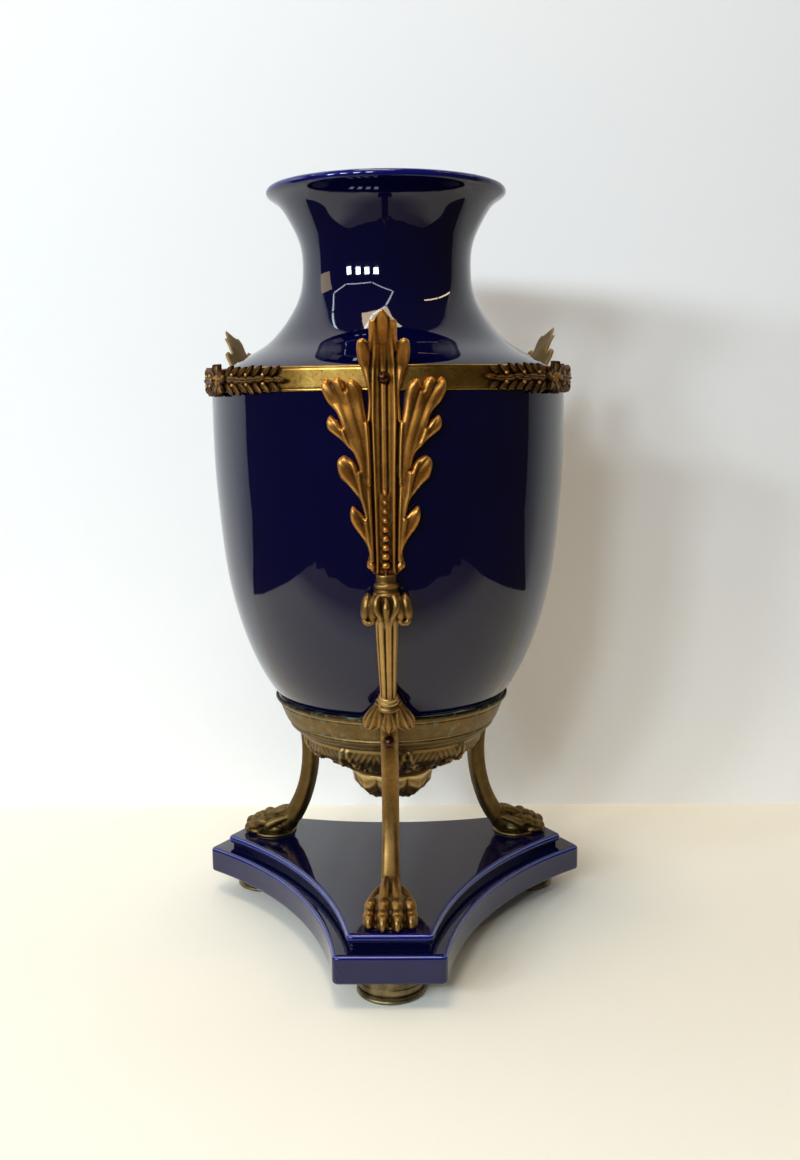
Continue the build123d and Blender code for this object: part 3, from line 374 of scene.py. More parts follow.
class Look:
    """A node material with a few short calls for building it."""

    def __init__(self, name):
        self.material = bpy.data.materials.new(name)
        self.material.use_nodes = True
        self.nodes = self.material.node_tree.nodes
        self.links = self.material.node_tree.links
        self.shader = self.nodes["Principled BSDF"]
        self.place = self.nodes.new("ShaderNodeTexCoord").outputs["Object"]

    def put(self, socket, value):
        if isinstance(value, bpy.types.NodeSocket):
            self.links.new(value, socket)
        elif isinstance(value, tuple) and len(value) == 3 and socket.type == "RGBA":
            socket.default_value = (*value, 1)
        else:
            socket.default_value = value

    def set(self, **values):
        for name, value in values.items():
            self.put(self.shader.inputs[name.replace("_", " ")], value)

    def noise(self, size, detail=4.0, rough=0.55, shift=0.0):
        """Cloudy noise from 0 to 1 whose features are about size millimetres."""
        mapping = self.nodes.new("ShaderNodeMapping")
        mapping.inputs["Location"].default_value = (shift, shift * 0.7, shift * 1.3)
        self.put(mapping.inputs["Vector"], self.place)
        node = self.nodes.new("ShaderNodeTexNoise")
        self.put(node.inputs["Vector"], mapping.outputs["Vector"])
        node.inputs["Scale"].default_value = 1 / (size * MM)
        node.inputs["Detail"].default_value = detail
        node.inputs["Roughness"].default_value = rough
        return node.outputs["Fac"]

    def value_of(self, attribute):
        node = self.nodes.new("ShaderNodeAttribute")
        node.attribute_name = attribute
        return node.outputs["Fac"]

    def math(self, operation, a, b):
        node = self.nodes.new("ShaderNodeMath")
        node.operation = operation
        for socket, value in zip(node.inputs, (a, b)):
            self.put(socket, value)
        return node.outputs[0]

    def span(self, value, low, high, out_low=0.0, out_high=1.0):
        """value from low to high, mapped to the range out_low to out_high and held there."""
        node = self.nodes.new("ShaderNodeMapRange")
        for name, number in zip(("Value", "From Min", "From Max", "To Min", "To Max"),
                                (value, low, high, out_low, out_high)):
            self.put(node.inputs[name], number)
        return node.outputs["Result"]

    def ramp(self, value, stops):
        node = self.nodes.new("ShaderNodeValToRGB")
        self.put(node.inputs["Fac"], value)
        ramp = node.color_ramp
        while len(ramp.elements) < len(stops):
            ramp.elements.new(0.5)
        for element, (place, colour) in zip(ramp.elements, stops):
            element.position = place
            element.color = (*colour, 1)
        return node.outputs["Color"]

    def mix(self, share, a, b):
        node = self.nodes.new("ShaderNodeMix")
        node.data_type = "RGBA"
        self.put(node.inputs[0], share)
        self.put(node.inputs[6], a)
        self.put(node.inputs[7], b)
        return node.outputs[2]

    def bump(self, height, depth, under=None):
        """A bump whose full height is depth millimetres."""
        node = self.nodes.new("ShaderNodeBump")
        node.inputs["Distance"].default_value = depth * MM
        node.inputs["Strength"].default_value = 1.0
        self.put(node.inputs["Height"], height)
        if under is not None:
            self.put(node.inputs["Normal"], under)
        return node.outputs["Normal"]


def glaze_look(name, deep, pale):
    """Deep cobalt glaze, paler where it runs thinner over arrises and at the lip, with a painted highlight
    line along the sharpest arrises.
    """
    look = Look(name)
    thin_and_highlight = look.value_of("thin_and_highlight")
    cloud = look.noise(55.0, detail=3.0)
    body = look.mix(cloud, deep, tuple(2.2 * c for c in deep))
    specks = look.span(look.noise(0.9, detail=1.0), 0.76, 0.80)
    body = look.mix(look.math("MULTIPLY", specks, 0.2), body, linear(40, 42, 76))
    # Paler blue where the glaze runs thinner; at the lip this is partly a painted highlight.
    pale_share = look.math("MULTIPLY", thin_and_highlight, look.span(look.noise(9.0, detail=2.0), 0.30, 0.60, 0.7, 1.0))
    colour = look.mix(pale_share, body, pale)
    # Painted highlight: a pale grey-blue line where the paleness nears 1, along the sharpest arrises.
    arris_highlight = look.math("MULTIPLY", look.span(thin_and_highlight, 0.86, 1.0), 0.75)
    rough = look.span(look.noise(30.0), 0.3, 0.7, 0.02, 0.05)
    look.set(Base_Color=look.mix(arris_highlight, colour, linear(112, 130, 204)), Roughness=rough, IOR=1.52,
             Specular_IOR_Level=0.5)
    waves = look.bump(look.noise(16.0, detail=1.0), 0.045)
    look.set(Normal=look.bump(look.noise(2.4, detail=1.0), 0.0035, under=waves))
    return look.material


def bronze_look(name, dark, mid, bright, green, shift, shine):
    """Cast bronze: darker in its hollows, from patina and painted shade, and brighter on its ridges, from
    rubbed wear and a painted highlight, with brown stains, pits and verdigris. green is how much verdigris it
    has, shift moves the noise and shine holds the limits of its roughness."""
    dark, mid, bright = linear(*dark), linear(*mid), linear(*bright)
    grain = 0.03
    look = Look(name)
    relief = look.value_of("relief")
    stain = look.noise(9.0, detail=5.0, rough=0.62, shift=shift)
    fine = look.noise(1.3, detail=4.0, rough=0.65, shift=shift + 3.0)
    level = look.math("ADD", relief, look.math("MULTIPLY", look.math("SUBTRACT", stain, 0.5), 0.35))
    level = look.math("ADD", level, look.math("MULTIPLY", look.math("SUBTRACT", fine, 0.5), 0.22))
    # The ramp paints shade into the hollows and a highlight onto the ridges, over the patina and the rubbed
    # wear.
    colour = look.ramp(level, [(0.12, dark), (0.40, tuple(0.5 * a + 0.5 * b for a, b in zip(dark, mid))),
                               (0.55, mid), (0.86, bright)])
    pits = look.span(look.noise(0.8, detail=2.0, shift=shift + 9.0), 0.66, 0.72)
    colour = look.mix(look.math("MULTIPLY", pits, 0.7), colour, tuple(0.45 * c for c in dark))
    low = look.span(relief, 0.30, 0.52, 1.0, 0.0)
    patch = look.span(look.noise(5.0, detail=4.0, rough=0.6, shift=shift + 20.0), 0.60 - 0.12 * green,
                      0.72 - 0.12 * green)
    verdigris = look.math("MULTIPLY", look.math("MULTIPLY", low, patch), min(1.0, 0.9 * green))
    colour = look.mix(verdigris, colour, linear(118, 150, 128))
    rough = look.span(look.math("ADD", fine, look.math("MULTIPLY", low, 0.4)), 0.35, 0.95, *shine)
    look.set(Base_Color=colour, Metallic=look.math("SUBTRACT", 1.0, verdigris), Roughness=rough)
    cast = look.bump(fine, grain)
    look.set(Normal=look.bump(look.noise(4.0, detail=2.0, shift=shift), grain * 2, under=cast))
    return look.material


def brass_look(name, colour, shade, rough=(0.26, 0.42), size=24.0):
    """Rolled brass, lightly tarnished in clouds."""
    look = Look(name)
    cloud = look.noise(size, detail=5.0, rough=0.6)
    fine = look.noise(1.6, detail=4.0)
    tone = look.mix(look.span(cloud, 0.38, 0.66), shade, colour)
    spots = look.span(look.noise(2.2, detail=3.0, shift=5.0), 0.66, 0.74)
    tone = look.mix(look.math("MULTIPLY", spots, 0.55), tone, tuple(0.3 * c for c in shade))
    look.set(Base_Color=tone, Metallic=1.0, Roughness=look.span(fine, 0.3, 0.7, *rough))
    look.set(Normal=look.bump(fine, 0.01, under=look.bump(look.noise(14.0, detail=1.0), 0.05)))
    return look.material


def dull_look(name, colour, shade, rough, size, depth, metallic):
    """A dull stuff with clouds of a second tone and a fine rough surface."""
    colour, shade = linear(*colour), linear(*shade)
    look = Look(name)
    cloud = look.noise(size, detail=5.0, rough=0.6)
    tone = look.mix(look.span(cloud, 0.35, 0.65), shade, colour)
    look.set(Base_Color=tone, Roughness=rough, Metallic=metallic)
    look.set(Normal=look.bump(look.noise(size / 6, detail=4.0), depth))
    return look.material


glaze = glaze_look("cobalt_glaze", linear(2, 2, 30), linear(18, 22, 116))
plinth_glaze = glaze_look("plinth_glaze", linear(3, 4, 32), linear(16, 22, 112))
# Colours of hollows, with painted shade, of faces, and of ridges, with a painted highlight; share of
# verdigris, shift of the noise and limits of roughness
bronze_tones = {
    "leaf_bronze": ((44, 25, 9), (146, 94, 38), (204, 146, 72), 0.2, 0.0, (0.40, 0.56)),
    "gilt_bronze": ((46, 32, 15), (132, 99, 52), (190, 152, 92), 0.3, 40.0, (0.38, 0.54)),
    "aged_bronze": ((52, 40, 22), (166, 136, 84), (208, 178, 120), 0.45, 80.0, (0.36, 0.56)),
    "cup_bronze": ((30, 23, 12), (108, 86, 50), (158, 128, 80), 0.6, 200.0, (0.42, 0.58)),
    "rear_bronze": ((34, 28, 15), (104, 82, 46), (150, 124, 76), 0.5, 160.0, (0.42, 0.58)),
    "garland_bronze": ((56, 36, 16), (148, 106, 52), (194, 148, 86), 0.1, 120.0, (0.4, 0.58)),
}
# Colour, its second tone, roughness, size of the clouds, depth of the fine bumps and share of metal
dull_tones = {
    "dark_nut": ((96, 62, 44), (60, 36, 28), 0.32, 2.0, 0.02, 1.0),
    "pin_brass": ((150, 112, 62), (110, 78, 40), 0.38, 2.0, 0.02, 1.0),
    "plaster_white": ((206, 202, 186), (120, 150, 136), 0.9, 6.0, 0.3, 0.0),
    "steel_grey": ((150, 148, 144), (110, 100, 90), 0.45, 4.0, 0.02, 1.0),
    "leather_brown": ((92, 62, 40), (62, 42, 28), 0.8, 5.0, 0.1, 0.0),
}
looks = {name: bronze_look(name, *tones) for name, tones in bronze_tones.items()}
band_brass = brass_look("band_brass", linear(200, 160, 82), linear(160, 118, 54))
foot_brass = brass_look("foot_brass", linear(150, 134, 96), linear(96, 84, 60), rough=(0.3, 0.5), size=9.0)
looks.update({name: dull_look(name, *tones) for name, tones in dull_tones.items()})


# Vase

belly_r = 117.1
vase_foot_r = belly_r * 0.3757
vase_wall = 5.0
vase_floor = 6.0
vase_cove_w = 6.0
foot_bevel_w = 2.0
rebate_r = belly_r - 3.2
rebate_h = 4.6
neck_r = belly_r * 0.474
lip_r = belly_r * 0.6695
lip_roll_r = 2.7
lip_lean = 48.0
# Paler glaze over the top of the lip, from thinner glaze and a painted highlight, kept below the painted
# highlight line of the arrises.
lip_glaze_h, lip_glaze_fade, lip_paleness = 5.5, 4.0, 0.84
rod_hole_r = 4.4
# The points of the outer belly and neck that the inside of the wall follows
inner_belly, inner_neck = slice(30, None), slice(6, -3)
belly_shares = [(0.470, 0.0241), (0.5465, 0.0504), (0.615, 0.081), (0.676, 0.116), (0.790, 0.2145),
                (0.883, 0.3459), (0.940, 0.4772), (0.970, 0.6086), (0.990, 0.740), (0.999, 0.871)]
shoulder_shares = [(0.882, 0.137), (0.675, 0.240), (0.440, 0.347), (0.187, 0.560), (0.036, 0.787)]
flare_shares = [(0.0655, 0.314), (0.358, 0.608), (0.760, 0.843)]


def lip_point(across, along):
    """A point of the lip's roll: across the wall, -1 outside and 1 inside, or along it."""
    lean = radians(lip_lean)
    return array([lip_r - lip_roll_r + lip_roll_r * (along * cos(lean) - across * sin(lean)),
                  vase_top - lip_roll_r + lip_roll_r * (along * sin(lean) + across * cos(lean))])


belly_points = [(vase_foot_r, vase_z)] + [(belly_r * r, vase_z + belly_h * z) for r, z in belly_shares]
belly_line = smooth_line(belly_points + [(belly_r, band_z)], 160, start_way=(1, 0.45), end_way=(0, 1))
neck_start = band_z + rebate_h
shoulder_points = [(neck_r + (rebate_r - neck_r) * r, neck_start + (neck_z - neck_start) * z)
                   for r, z in shoulder_shares]
flare_points = [(neck_r + (lip_r - neck_r) * r, neck_z + flare_h * z) for r, z in flare_shares]
lip_way = (cos(radians(lip_lean)), sin(radians(lip_lean)))
neck_line = smooth_line([(rebate_r, neck_start)] + shoulder_points + [(neck_r, neck_z)] + flare_points
                        + [lip_point(-1, 0)], 150, start_way=(0, 1), end_way=lip_way)


def belly_r_at(height):
    """The vase's outside radius at a height, with the band's radius from its ledge up."""
    return np.where(array(height) >= band_z, belly_r, np.interp(height, belly_line[:, 1], belly_line[:, 0]))


def belly_way_at(height):
    """The upward direction along the vase's side at a height, in the radial plane."""
    step = 0.5
    return unit(array([float(belly_r_at(height + step) - belly_r_at(height - step)), 2 * step]))


def make_vase():
    """The hollow porcelain body, closed from the rod's hole out, up, over the lip and down inside."""
    ledge = [(rebate_r, band_z), (rebate_r, neck_start - 1.0)]
    roll = [lip_point(cos(radians(a)), sin(radians(a))) for a in np.linspace(170, 10, 13)]
    inner_low = (belly_line - normals_of(belly_line) * vase_wall)[inner_belly]
    inner_high = (neck_line - normals_of(neck_line) * vase_wall)[inner_neck]
    inner_high = inner_high[inner_high[:, 1] > inner_low[-1, 1]]
    floor_z = vase_z + vase_floor
    cove = [(vase_foot_r - vase_cove_w, floor_z)]
    inner = smooth_line(np.concatenate([cove, inner_low[::3], inner_high[::3], [lip_point(1, 0)]]), 170)[::-1]
    underside = [(rod_hole_r, vase_z), (vase_foot_r - foot_bevel_w, vase_z)]
    outline = np.concatenate([underside, belly_line, ledge, neck_line, roll, inner, [(rod_hole_r, floor_z)]])
    shape = turned(outline, 288, closed=True)
    # The lip's paler band: thinner glaze and a painted highlight.
    below_top = vase_top - shape[0][:, 2]
    lip = lip_paleness * np.clip((lip_glaze_h - below_top) / lip_glaze_fade, 0, 1)
    return shape, lip


vase_shape, vase_thin_and_highlight = make_vase()
piece("porcelain_vase", vase_shape, glaze, "cobalt_glaze", ["vase_body"], thin_and_highlight=vase_thin_and_highlight, crease=50)


# Shoulder band

band_t = 1.7


def make_band():
    """The brass band, with rounded edges and a fine line along each."""
    inner_r, edge, rows = belly_r - band_t, 0.6, 40
    line_in, line_w, line_depth = 1.5, 0.35, 0.22
    heights = np.linspace(band_z, band_top, rows)
    edge_gap = np.minimum(heights - band_z, band_top - heights)
    outer = belly_r - edge * np.clip(1 - edge_gap / edge, 0, 1) ** 2
    outer -= line_depth * np.exp(-((edge_gap - line_in) / line_w) ** 2)
    outline = np.concatenate([[(inner_r, band_z)], np.stack([outer, heights], 1), [(inner_r, band_top)]])
    return turned(outline, 240, closed=True)


piece("brass_band", make_band(), band_brass, "polished_brass", ["shoulder_band"], crease=50)


# Acanthus leaves

leaf_h = 152.4
leaf_z = band_mid - leaf_h * 0.7537
leaf_half_w = 35.0
leaf_gap = 0.9
leaf_lean = 17.0
leaf_lean_start = 0.78
leaf_lean_power = 1.6
leaf_step = 0.5
leaf_lobe_shares = [
    [(0.180, 0.0), (0.260, 0.016), (0.326, 0.040), (0.283, 0.079), (0.326, 0.118), (0.423, 0.155),
     (0.534, 0.192), (0.577, 0.230), (0.565, 0.258), (0.480, 0.262), (0.395, 0.243), (0.331, 0.226)],
    [(0.331, 0.226), (0.380, 0.272), (0.517, 0.324), (0.677, 0.364), (0.760, 0.400), (0.771, 0.430),
     (0.729, 0.454), (0.590, 0.456), (0.480, 0.434), (0.420, 0.408)],
    [(0.420, 0.408), (0.480, 0.456), (0.609, 0.496), (0.737, 0.526), (0.863, 0.550), (0.926, 0.582),
     (0.903, 0.606), (0.820, 0.606), (0.737, 0.590), (0.686, 0.570)],
    [(0.686, 0.570), (0.745, 0.612), (0.862, 0.648), (0.968, 0.686), (1.0, 0.722), (0.957, 0.751),
     (0.880, 0.748), (0.840, 0.735)],
    [(0.840, 0.735), (0.795, 0.752), (0.730, 0.756), (0.668, 0.746), (0.638, 0.731), (0.620, 0.710)],
    [(0.620, 0.710), (0.600, 0.731), (0.568, 0.746), (0.514, 0.750), (0.430, 0.738), (0.357, 0.709),
     (0.323, 0.656), (0.283, 0.596)],
    [(0.283, 0.596), (0.263, 0.643), (0.257, 0.689), (0.291, 0.735), (0.354, 0.781), (0.423, 0.833),
     (0.420, 0.880), (0.383, 0.893), (0.300, 0.896), (0.234, 0.879)],
    [(0.234, 0.879), (0.226, 0.905), (0.226, 0.940), (0.214, 0.962)],
    [(0.214, 0.962), (0.120, 0.968), (0.074, 0.982), (0.0, 1.0)],
]
# Pads swell along a line from each lobe's tip to the stem: places in shares, half widths in millimetres
leaf_pads = [
    [(0.950, 0.722, 2.9), (0.865, 0.690, 3.8), (0.735, 0.630, 4.8), (0.555, 0.520, 5.0), (0.400, 0.370, 4.0),
     (0.300, 0.200, 2.8), (0.250, 0.060, 1.8)],
    [(0.735, 0.738, 2.9), (0.660, 0.690, 3.6), (0.560, 0.610, 4.6), (0.440, 0.500, 4.6), (0.350, 0.360, 3.6)],
    [(0.505, 0.733, 2.7), (0.455, 0.690, 3.3), (0.400, 0.620, 3.9), (0.340, 0.510, 3.6), (0.300, 0.390, 3.0)],
    [(0.895, 0.587, 3.2), (0.790, 0.560, 3.9), (0.650, 0.490, 3.8), (0.470, 0.370, 3.3), (0.320, 0.220, 2.3),
     (0.255, 0.080, 1.6)],
    [(0.750, 0.598, 1.7), (0.680, 0.550, 2.2)],
    [(0.725, 0.436, 3.4), (0.620, 0.402, 3.9), (0.470, 0.315, 3.2), (0.335, 0.190, 2.3), (0.265, 0.080, 1.6)],
    [(0.560, 0.448, 2.0), (0.490, 0.400, 2.4)],
    [(0.535, 0.243, 2.9), (0.450, 0.205, 3.0), (0.345, 0.140, 2.3), (0.275, 0.070, 1.7)],
    [(0.410, 0.243, 1.7), (0.370, 0.200, 2.0)],
    [(0.345, 0.880, 2.7), (0.310, 0.835, 3.3), (0.270, 0.770, 3.3), (0.245, 0.680, 2.7), (0.235, 0.600, 2.2)],
    [(0.405, 0.845, 2.2), (0.340, 0.790, 2.6)],
    [(0.300, 0.040, 2.0), (0.200, 0.025, 2.0)],
    [(0.185, 0.957, 2.2), (0.160, 0.915, 2.6), (0.150, 0.860, 2.4)],
    [(0.0, 0.985, 2.0), (0.0, 0.940, 3.0), (0.0, 0.900, 3.0)],
]
# Narrow ridges that run from the notches between the lobes down to the stem
leaf_ridges = [
    [(0.690, 0.572), (0.560, 0.480), (0.420, 0.355), (0.310, 0.220), (0.252, 0.090), (0.235, 0.020)],
    [(0.425, 0.410), (0.370, 0.300), (0.300, 0.180), (0.262, 0.080)],
    [(0.335, 0.230), (0.290, 0.140), (0.268, 0.080)],
    [(0.290, 0.610), (0.262, 0.520), (0.245, 0.380), (0.228, 0.200), (0.205, 0.030)],
]
# Lobes' tips that curl away from the vase: places in shares, and how far in millimetres
leaf_tips = [(0.955, 0.725, 3.0), (0.735, 0.742, 2.8), (0.50, 0.735, 2.4), (0.91, 0.590, 2.6),
             (0.755, 0.432, 2.4), (0.56, 0.245, 2.0), (0.38, 0.872, 2.0), (0.0, 0.985, 1.2)]
tip_curl_w = 8.5
ridge_half_w = 0.95
# How far a pad reaches and how high it swells, in shares of its half width
pad_reach, pad_swell = 1.25, 0.72
# The stem's half width in millimetres at shares of the leaf's height, and where it fades out at the tip
stem_places, stem_half_ws = [0.0, 0.35, 0.60, 0.80, 0.93], [5.6, 6.4, 7.2, 6.6, 5.0]
stem_end, stem_fade = 0.93, 0.06
# The stem's beads end at this share of the height, and a rib with a line on each side goes on above them
bead_end, rib_end, rib_line_end = 0.325, 0.88, 0.90
rib_half_w = 1.75
bead_line_out = 3.5
bead_count = 9
first_bead_h, bead_run = 5.5, 43.0
first_bead_r, last_bead_r, bead_swell = 2.5, 1.2, 1.15
# Thickness of the web between the pads, of the stem and of the edge, and how wide the edge is rounded
web_t, stem_t, edge_t = 1.2, 2.7, 0.6
edge_round_w, back_round_w = 2.4, 0.8


def leaf_back_r(height):
    """The radius of a leaf's back: it follows the vase, then leans outwards above the band."""
    lean_z = leaf_z + leaf_h * leaf_lean_start
    share = np.clip((array(height) - lean_z) / (leaf_z + leaf_h - lean_z), 0, 1)
    return belly_r_at(height) + leaf_gap + leaf_lean * share ** leaf_lean_power


def nearest_on(points, line):
    """For each point, its distance to a line of straight runs, the nearest place on that line, and how many
    runs along it that place lies."""
    best = np.full(len(points), 1e9)
    place = np.zeros_like(points)
    along = np.zeros(len(points))
    for k, (a, b) in enumerate(zip(line[:-1], line[1:])):
        run = b - a
        share = np.clip((points - a) @ run / (run @ run), 0, 1)
        foot = a + share[:, None] * run
        gap = np.linalg.norm(points - foot, axis=1)
        closer = gap < best
        best[closer] = gap[closer]
        place[closer] = foot[closer]
        along[closer] = k + share[closer]
    return best, place, along


def inside(points, line):
    """Whether each point is inside a closed line, by counting crossings."""
    count = np.zeros(len(points), int)
    x, y = points[:, 0], points[:, 1]
    for (ax, ay), (bx, by) in zip(line[:-1], line[1:]):
        if ay == by:
            continue
        crosses = (ay > y) != (by > y)
        count += crosses & (x < (bx - ax) * (y - ay) / (by - ay) + ax)
    return count % 2 == 1


def leaf_outline():
    """The closed lobed outline of a leaf, in millimetres across and up from its base."""
    half = [smooth_line(lobe, 6 * len(lobe))[(1 if k else 0):] for k, lobe in enumerate(leaf_lobe_shares)]
    half = np.concatenate(half) * [leaf_half_w, leaf_h]
    other = half[::-1][1:] * [-1, 1]
    return np.concatenate([half, other, half[:1]])


def pad_height(points, scale):
    """How high the swelling pads of a leaf stand at some places, creased where two of them meet."""
    folded = np.abs(points)
    height = np.zeros(len(points))
    for pad in leaf_pads:
        line = array(pad)
        fine = smooth_line(line * [*scale, 1.0], 8 * len(line)) if len(line) > 2 else line * [*scale, 1.0]
        gap, _, along = nearest_on(folded, fine[:, :2])
        half_w = np.interp(along, np.arange(len(fine)), fine[:, 2])
        dome = half_w * np.sqrt(np.clip(1 - (gap / (pad_reach * half_w)) ** 2, 0, 1))
        height = np.maximum(height, pad_swell * dome)
    return height


def ridge_height(points, scale):
    """How high the narrow ridges stand, from 0 to 1."""
    folded = np.abs(points)
    height = np.zeros(len(points))
    for ridge in leaf_ridges:
        fine = smooth_line(array(ridge) * scale, 8 * len(ridge))
        gap, _, along = nearest_on(folded, fine)
        start = np.clip(along / 3.0, 0, 1)
        height = np.maximum(height, np.exp(-(gap / ridge_half_w) ** 2) * (0.4 + 0.6 * start))
    return height


def make_leaf():
    """A cast acanthus leaf: puffed lobes folded down to a beaded stem, on the vase's side."""
    outline = leaf_outline()
    scale = array([leaf_half_w, leaf_h])
    us = np.arange(-leaf_half_w - 1, leaf_half_w + 1 + leaf_step, leaf_step)
    vs = np.arange(-1.0, leaf_h + 1 + leaf_step, leaf_step)
    grid = np.stack(np.meshgrid(us, vs), 2).reshape(-1, 2)
    within = inside(grid, outline)
    depth, foot, _ = nearest_on(grid, outline)
    columns = len(us)
    cells = []
    for i in range(len(vs) - 1):
        for j in range(columns - 1):
            a = i * columns + j
            corners = (a, a + 1, a + columns + 1, a + columns)
            if within[list(corners)].any():
                cells.append(corners)
    used = np.unique(array(cells).astype(int))
    flat = np.where(within[:, None], grid, foot)[used]
    depth = np.where(within, depth, 0.0)[used]
    tight = (depth > 0) & (depth < 0.18 * leaf_step)
    flat[tight] = foot[used][tight]
    depth[tight] = 0.0
    index = {int(v): k for k, v in enumerate(used)}
    side, up = flat[:, 0], flat[:, 1]
    share = up / leaf_h
    lift = np.zeros(len(flat))
    for w, h, rise in leaf_tips:
        gap = np.hypot(np.abs(side) - w * leaf_half_w, up - h * leaf_h)
        lift = np.maximum(lift, rise * np.exp(-(gap / tip_curl_w) ** 2))
    stem_half = np.interp(share, stem_places, stem_half_ws)
    fade = np.clip((stem_end - share) / stem_fade, 0, 1)
    in_stem = np.clip((stem_half - np.abs(side)) / 0.7 + 0.5, 0, 1) * fade
    stem_edge = np.exp(-((np.abs(side) - stem_half + 0.9) / 0.8) ** 2) * fade
    stem_gutter = np.exp(-((np.abs(side) - stem_half - 0.5) / 0.55) ** 2) * fade
    bead_zone = np.clip((bead_end - share) / 0.02, 0, 1)
    rib_zone = (1 - bead_zone) * np.clip((rib_end - share) / 0.12, 0, 1)
    rib = np.clip((rib_half_w - np.abs(side)) / 0.5, 0, 1) * rib_zone
    line_zone = (1 - bead_zone) * np.clip((rib_line_end - share) / 0.1, 0, 1)
    rib_line = np.exp(-((np.abs(side) - rib_half_w - 0.25) / 0.42) ** 2) * line_zone
    bead_line = np.exp(-((np.abs(side) - bead_line_out) / 0.5) ** 2) * bead_zone
    beads = np.zeros(len(flat))
    for s in np.linspace(0, 1, bead_count):
        middle = first_bead_h + bead_run * s
        radius = first_bead_r + (last_bead_r - first_bead_r) * s
        beads = np.maximum(beads, np.sqrt(np.clip(radius ** 2 - side ** 2 - (up - middle) ** 2, 0, None)))
    leafy = web_t + pad_height(flat, scale) + ridge_height(flat, scale)
    stem = stem_t + 0.75 * stem_edge + 0.5 * rib - 0.75 * rib_line - 0.5 * bead_line + bead_swell * beads
    relief = leafy * (1 - in_stem) + stem * in_stem - 0.8 * stem_gutter
    edge_in = np.clip(depth / edge_round_w, 0, 1)
    edge = np.sqrt(1 - (1 - edge_in) ** 2)
    front = edge_t + edge * (relief - edge_t)
    back = edge_t * (1 - np.clip(depth / back_round_w, 0, 1))
    rows = len(flat)
    height = leaf_z + up
    back_r = leaf_back_r(height) + lift
    turn = np.arcsin(np.clip(side / leaf_back_r(height), -1, 1))
    layers = []
    for rise in (front, back):
        r = back_r + rise
        layers.append(np.stack([r * np.cos(turn), r * np.sin(turn), height], 1))
    verts = np.concatenate(layers)
    rim_verts = depth <= 0
    back_index = np.where(rim_verts, np.arange(rows), rows + np.arange(rows))
    faces = []
    for cell in cells:
        ids = [index[c] for c in cell]
        for lower in (False, True):
            ring = [int(back_index[i]) for i in ids[::-1]] if lower else ids
            ring = [v for k, v in enumerate(ring) if v not in ring[:k]]
            if len(ring) > 2 and not all(rim_verts[i] for i in ids):
                faces.append(tuple(ring))
    return tidied(verts, faces)


def tidied(verts, faces, gap=0.02):
    """The same skin with vertices that meet joined, and with no stray vertices or flat slivers."""
    mesh = bmesh.new()
    made = [mesh.verts.new(v) for v in verts]
    for f in faces:
        try:
            mesh.faces.new([made[i] for i in f])
        except ValueError:
            pass
    bmesh.ops.remove_doubles(mesh, verts=mesh.verts, dist=gap)
    bmesh.ops.dissolve_degenerate(mesh, dist=gap / 2, edges=mesh.edges)
    bmesh.ops.delete(mesh, geom=[v for v in mesh.verts if not v.link_faces], context="VERTS")
    bmesh.ops.recalc_face_normals(mesh, faces=mesh.faces)
    mesh.verts.index_update()
    out = array([v.co[:] for v in mesh.verts])
    out_faces = [tuple(v.index for v in f.verts) for f in mesh.faces]
    mesh.free()
    return out, out_faces


three("leaf_", leg_names, make_leaf(), looks["leaf_bronze"], looks["rear_bronze"], "gilt_bronze",
      "acanthus_leaf_", relief_size=0.55)


# Leg shafts with their capitals

shaft_top_r = 6.9
shaft_foot_r = 4.8
shaft_gap = 1.6
shaft_bow = 1.0
# Flutes as a count, a depth in shares of the radius and a width, and how much the shaft swells at its foot
flute_count, flute_depth, flute_w = 8, 0.16, 0.42
foot_swell = 0.10
foot_ring_h = 4.0
capital_h = 15.5
neck_ring_h = 7.5
leaf_neck_h = 5.0
neck_ring_z = leaf_z - leaf_neck_h - neck_ring_h
capital_z = neck_ring_z - capital_h
shaft_z = rim_top + 17.2
shaft_h = capital_z - shaft_z
leaf_t = 3.2
leaf_rib_t = 1.4
capital_x = float(leaf_back_r(leaf_z)) + (leaf_t + leaf_rib_t) / 2


def shaft_at(share):
    """The middle, the upward direction and the radius of the shaft at a share of its height."""
    radius = shaft_foot_r + (shaft_top_r - shaft_foot_r) * share
    height = shaft_z + shaft_h * share
    way = belly_way_at(height)
    bow = shaft_bow * 4 * share * (1 - share)
    x = float(belly_r_at(height)) + (radius + shaft_gap) / way[1] + bow
    return array([x, 0, height]), array([way[0], 0, way[1]]), radius


def drum(centre, way, outline, columns=40):
    """A closed turned piece about any axis, from (radius, distance) points along it."""
    way = unit(array(way))
    u = unit(np.cross(way, [1, 0, 0] if abs(way[0]) < 0.9 else [0, 1, 0]))
    v = np.cross(way, u)
    turns = full_turn(columns)
    rings = array([array(centre) + way * z + r * (np.outer(np.cos(turns), u) + np.outer(np.sin(turns), v))
                   for r, z in outline])
    tips = array(centre) + way * outline[0][1], array(centre) + way * outline[-1][1]
    return round_end(rings, grid_faces(len(outline), columns), columns, *tips)


def make_shaft():
    """The fluted shaft from its foot ring up into the capital."""
    columns = 72
    turns = full_turn(columns)
    path, radii = [], []
    for share in np.linspace(-0.02, 1.03, 48):
        middle, _, radius = shaft_at(share)
        path.append(middle)
        radii.append(radius * (1 + foot_swell * np.exp(-(share / 0.04) ** 2)))
    between = np.abs(np.sin(turns * flute_count / 2 + pi / 4))
    flutes = 1 - flute_depth * np.exp(-(between / flute_w) ** 2)
    u, v = np.cos(turns) * flutes, np.sin(turns) * flutes
    return tube(path, radii, section=(u, v))


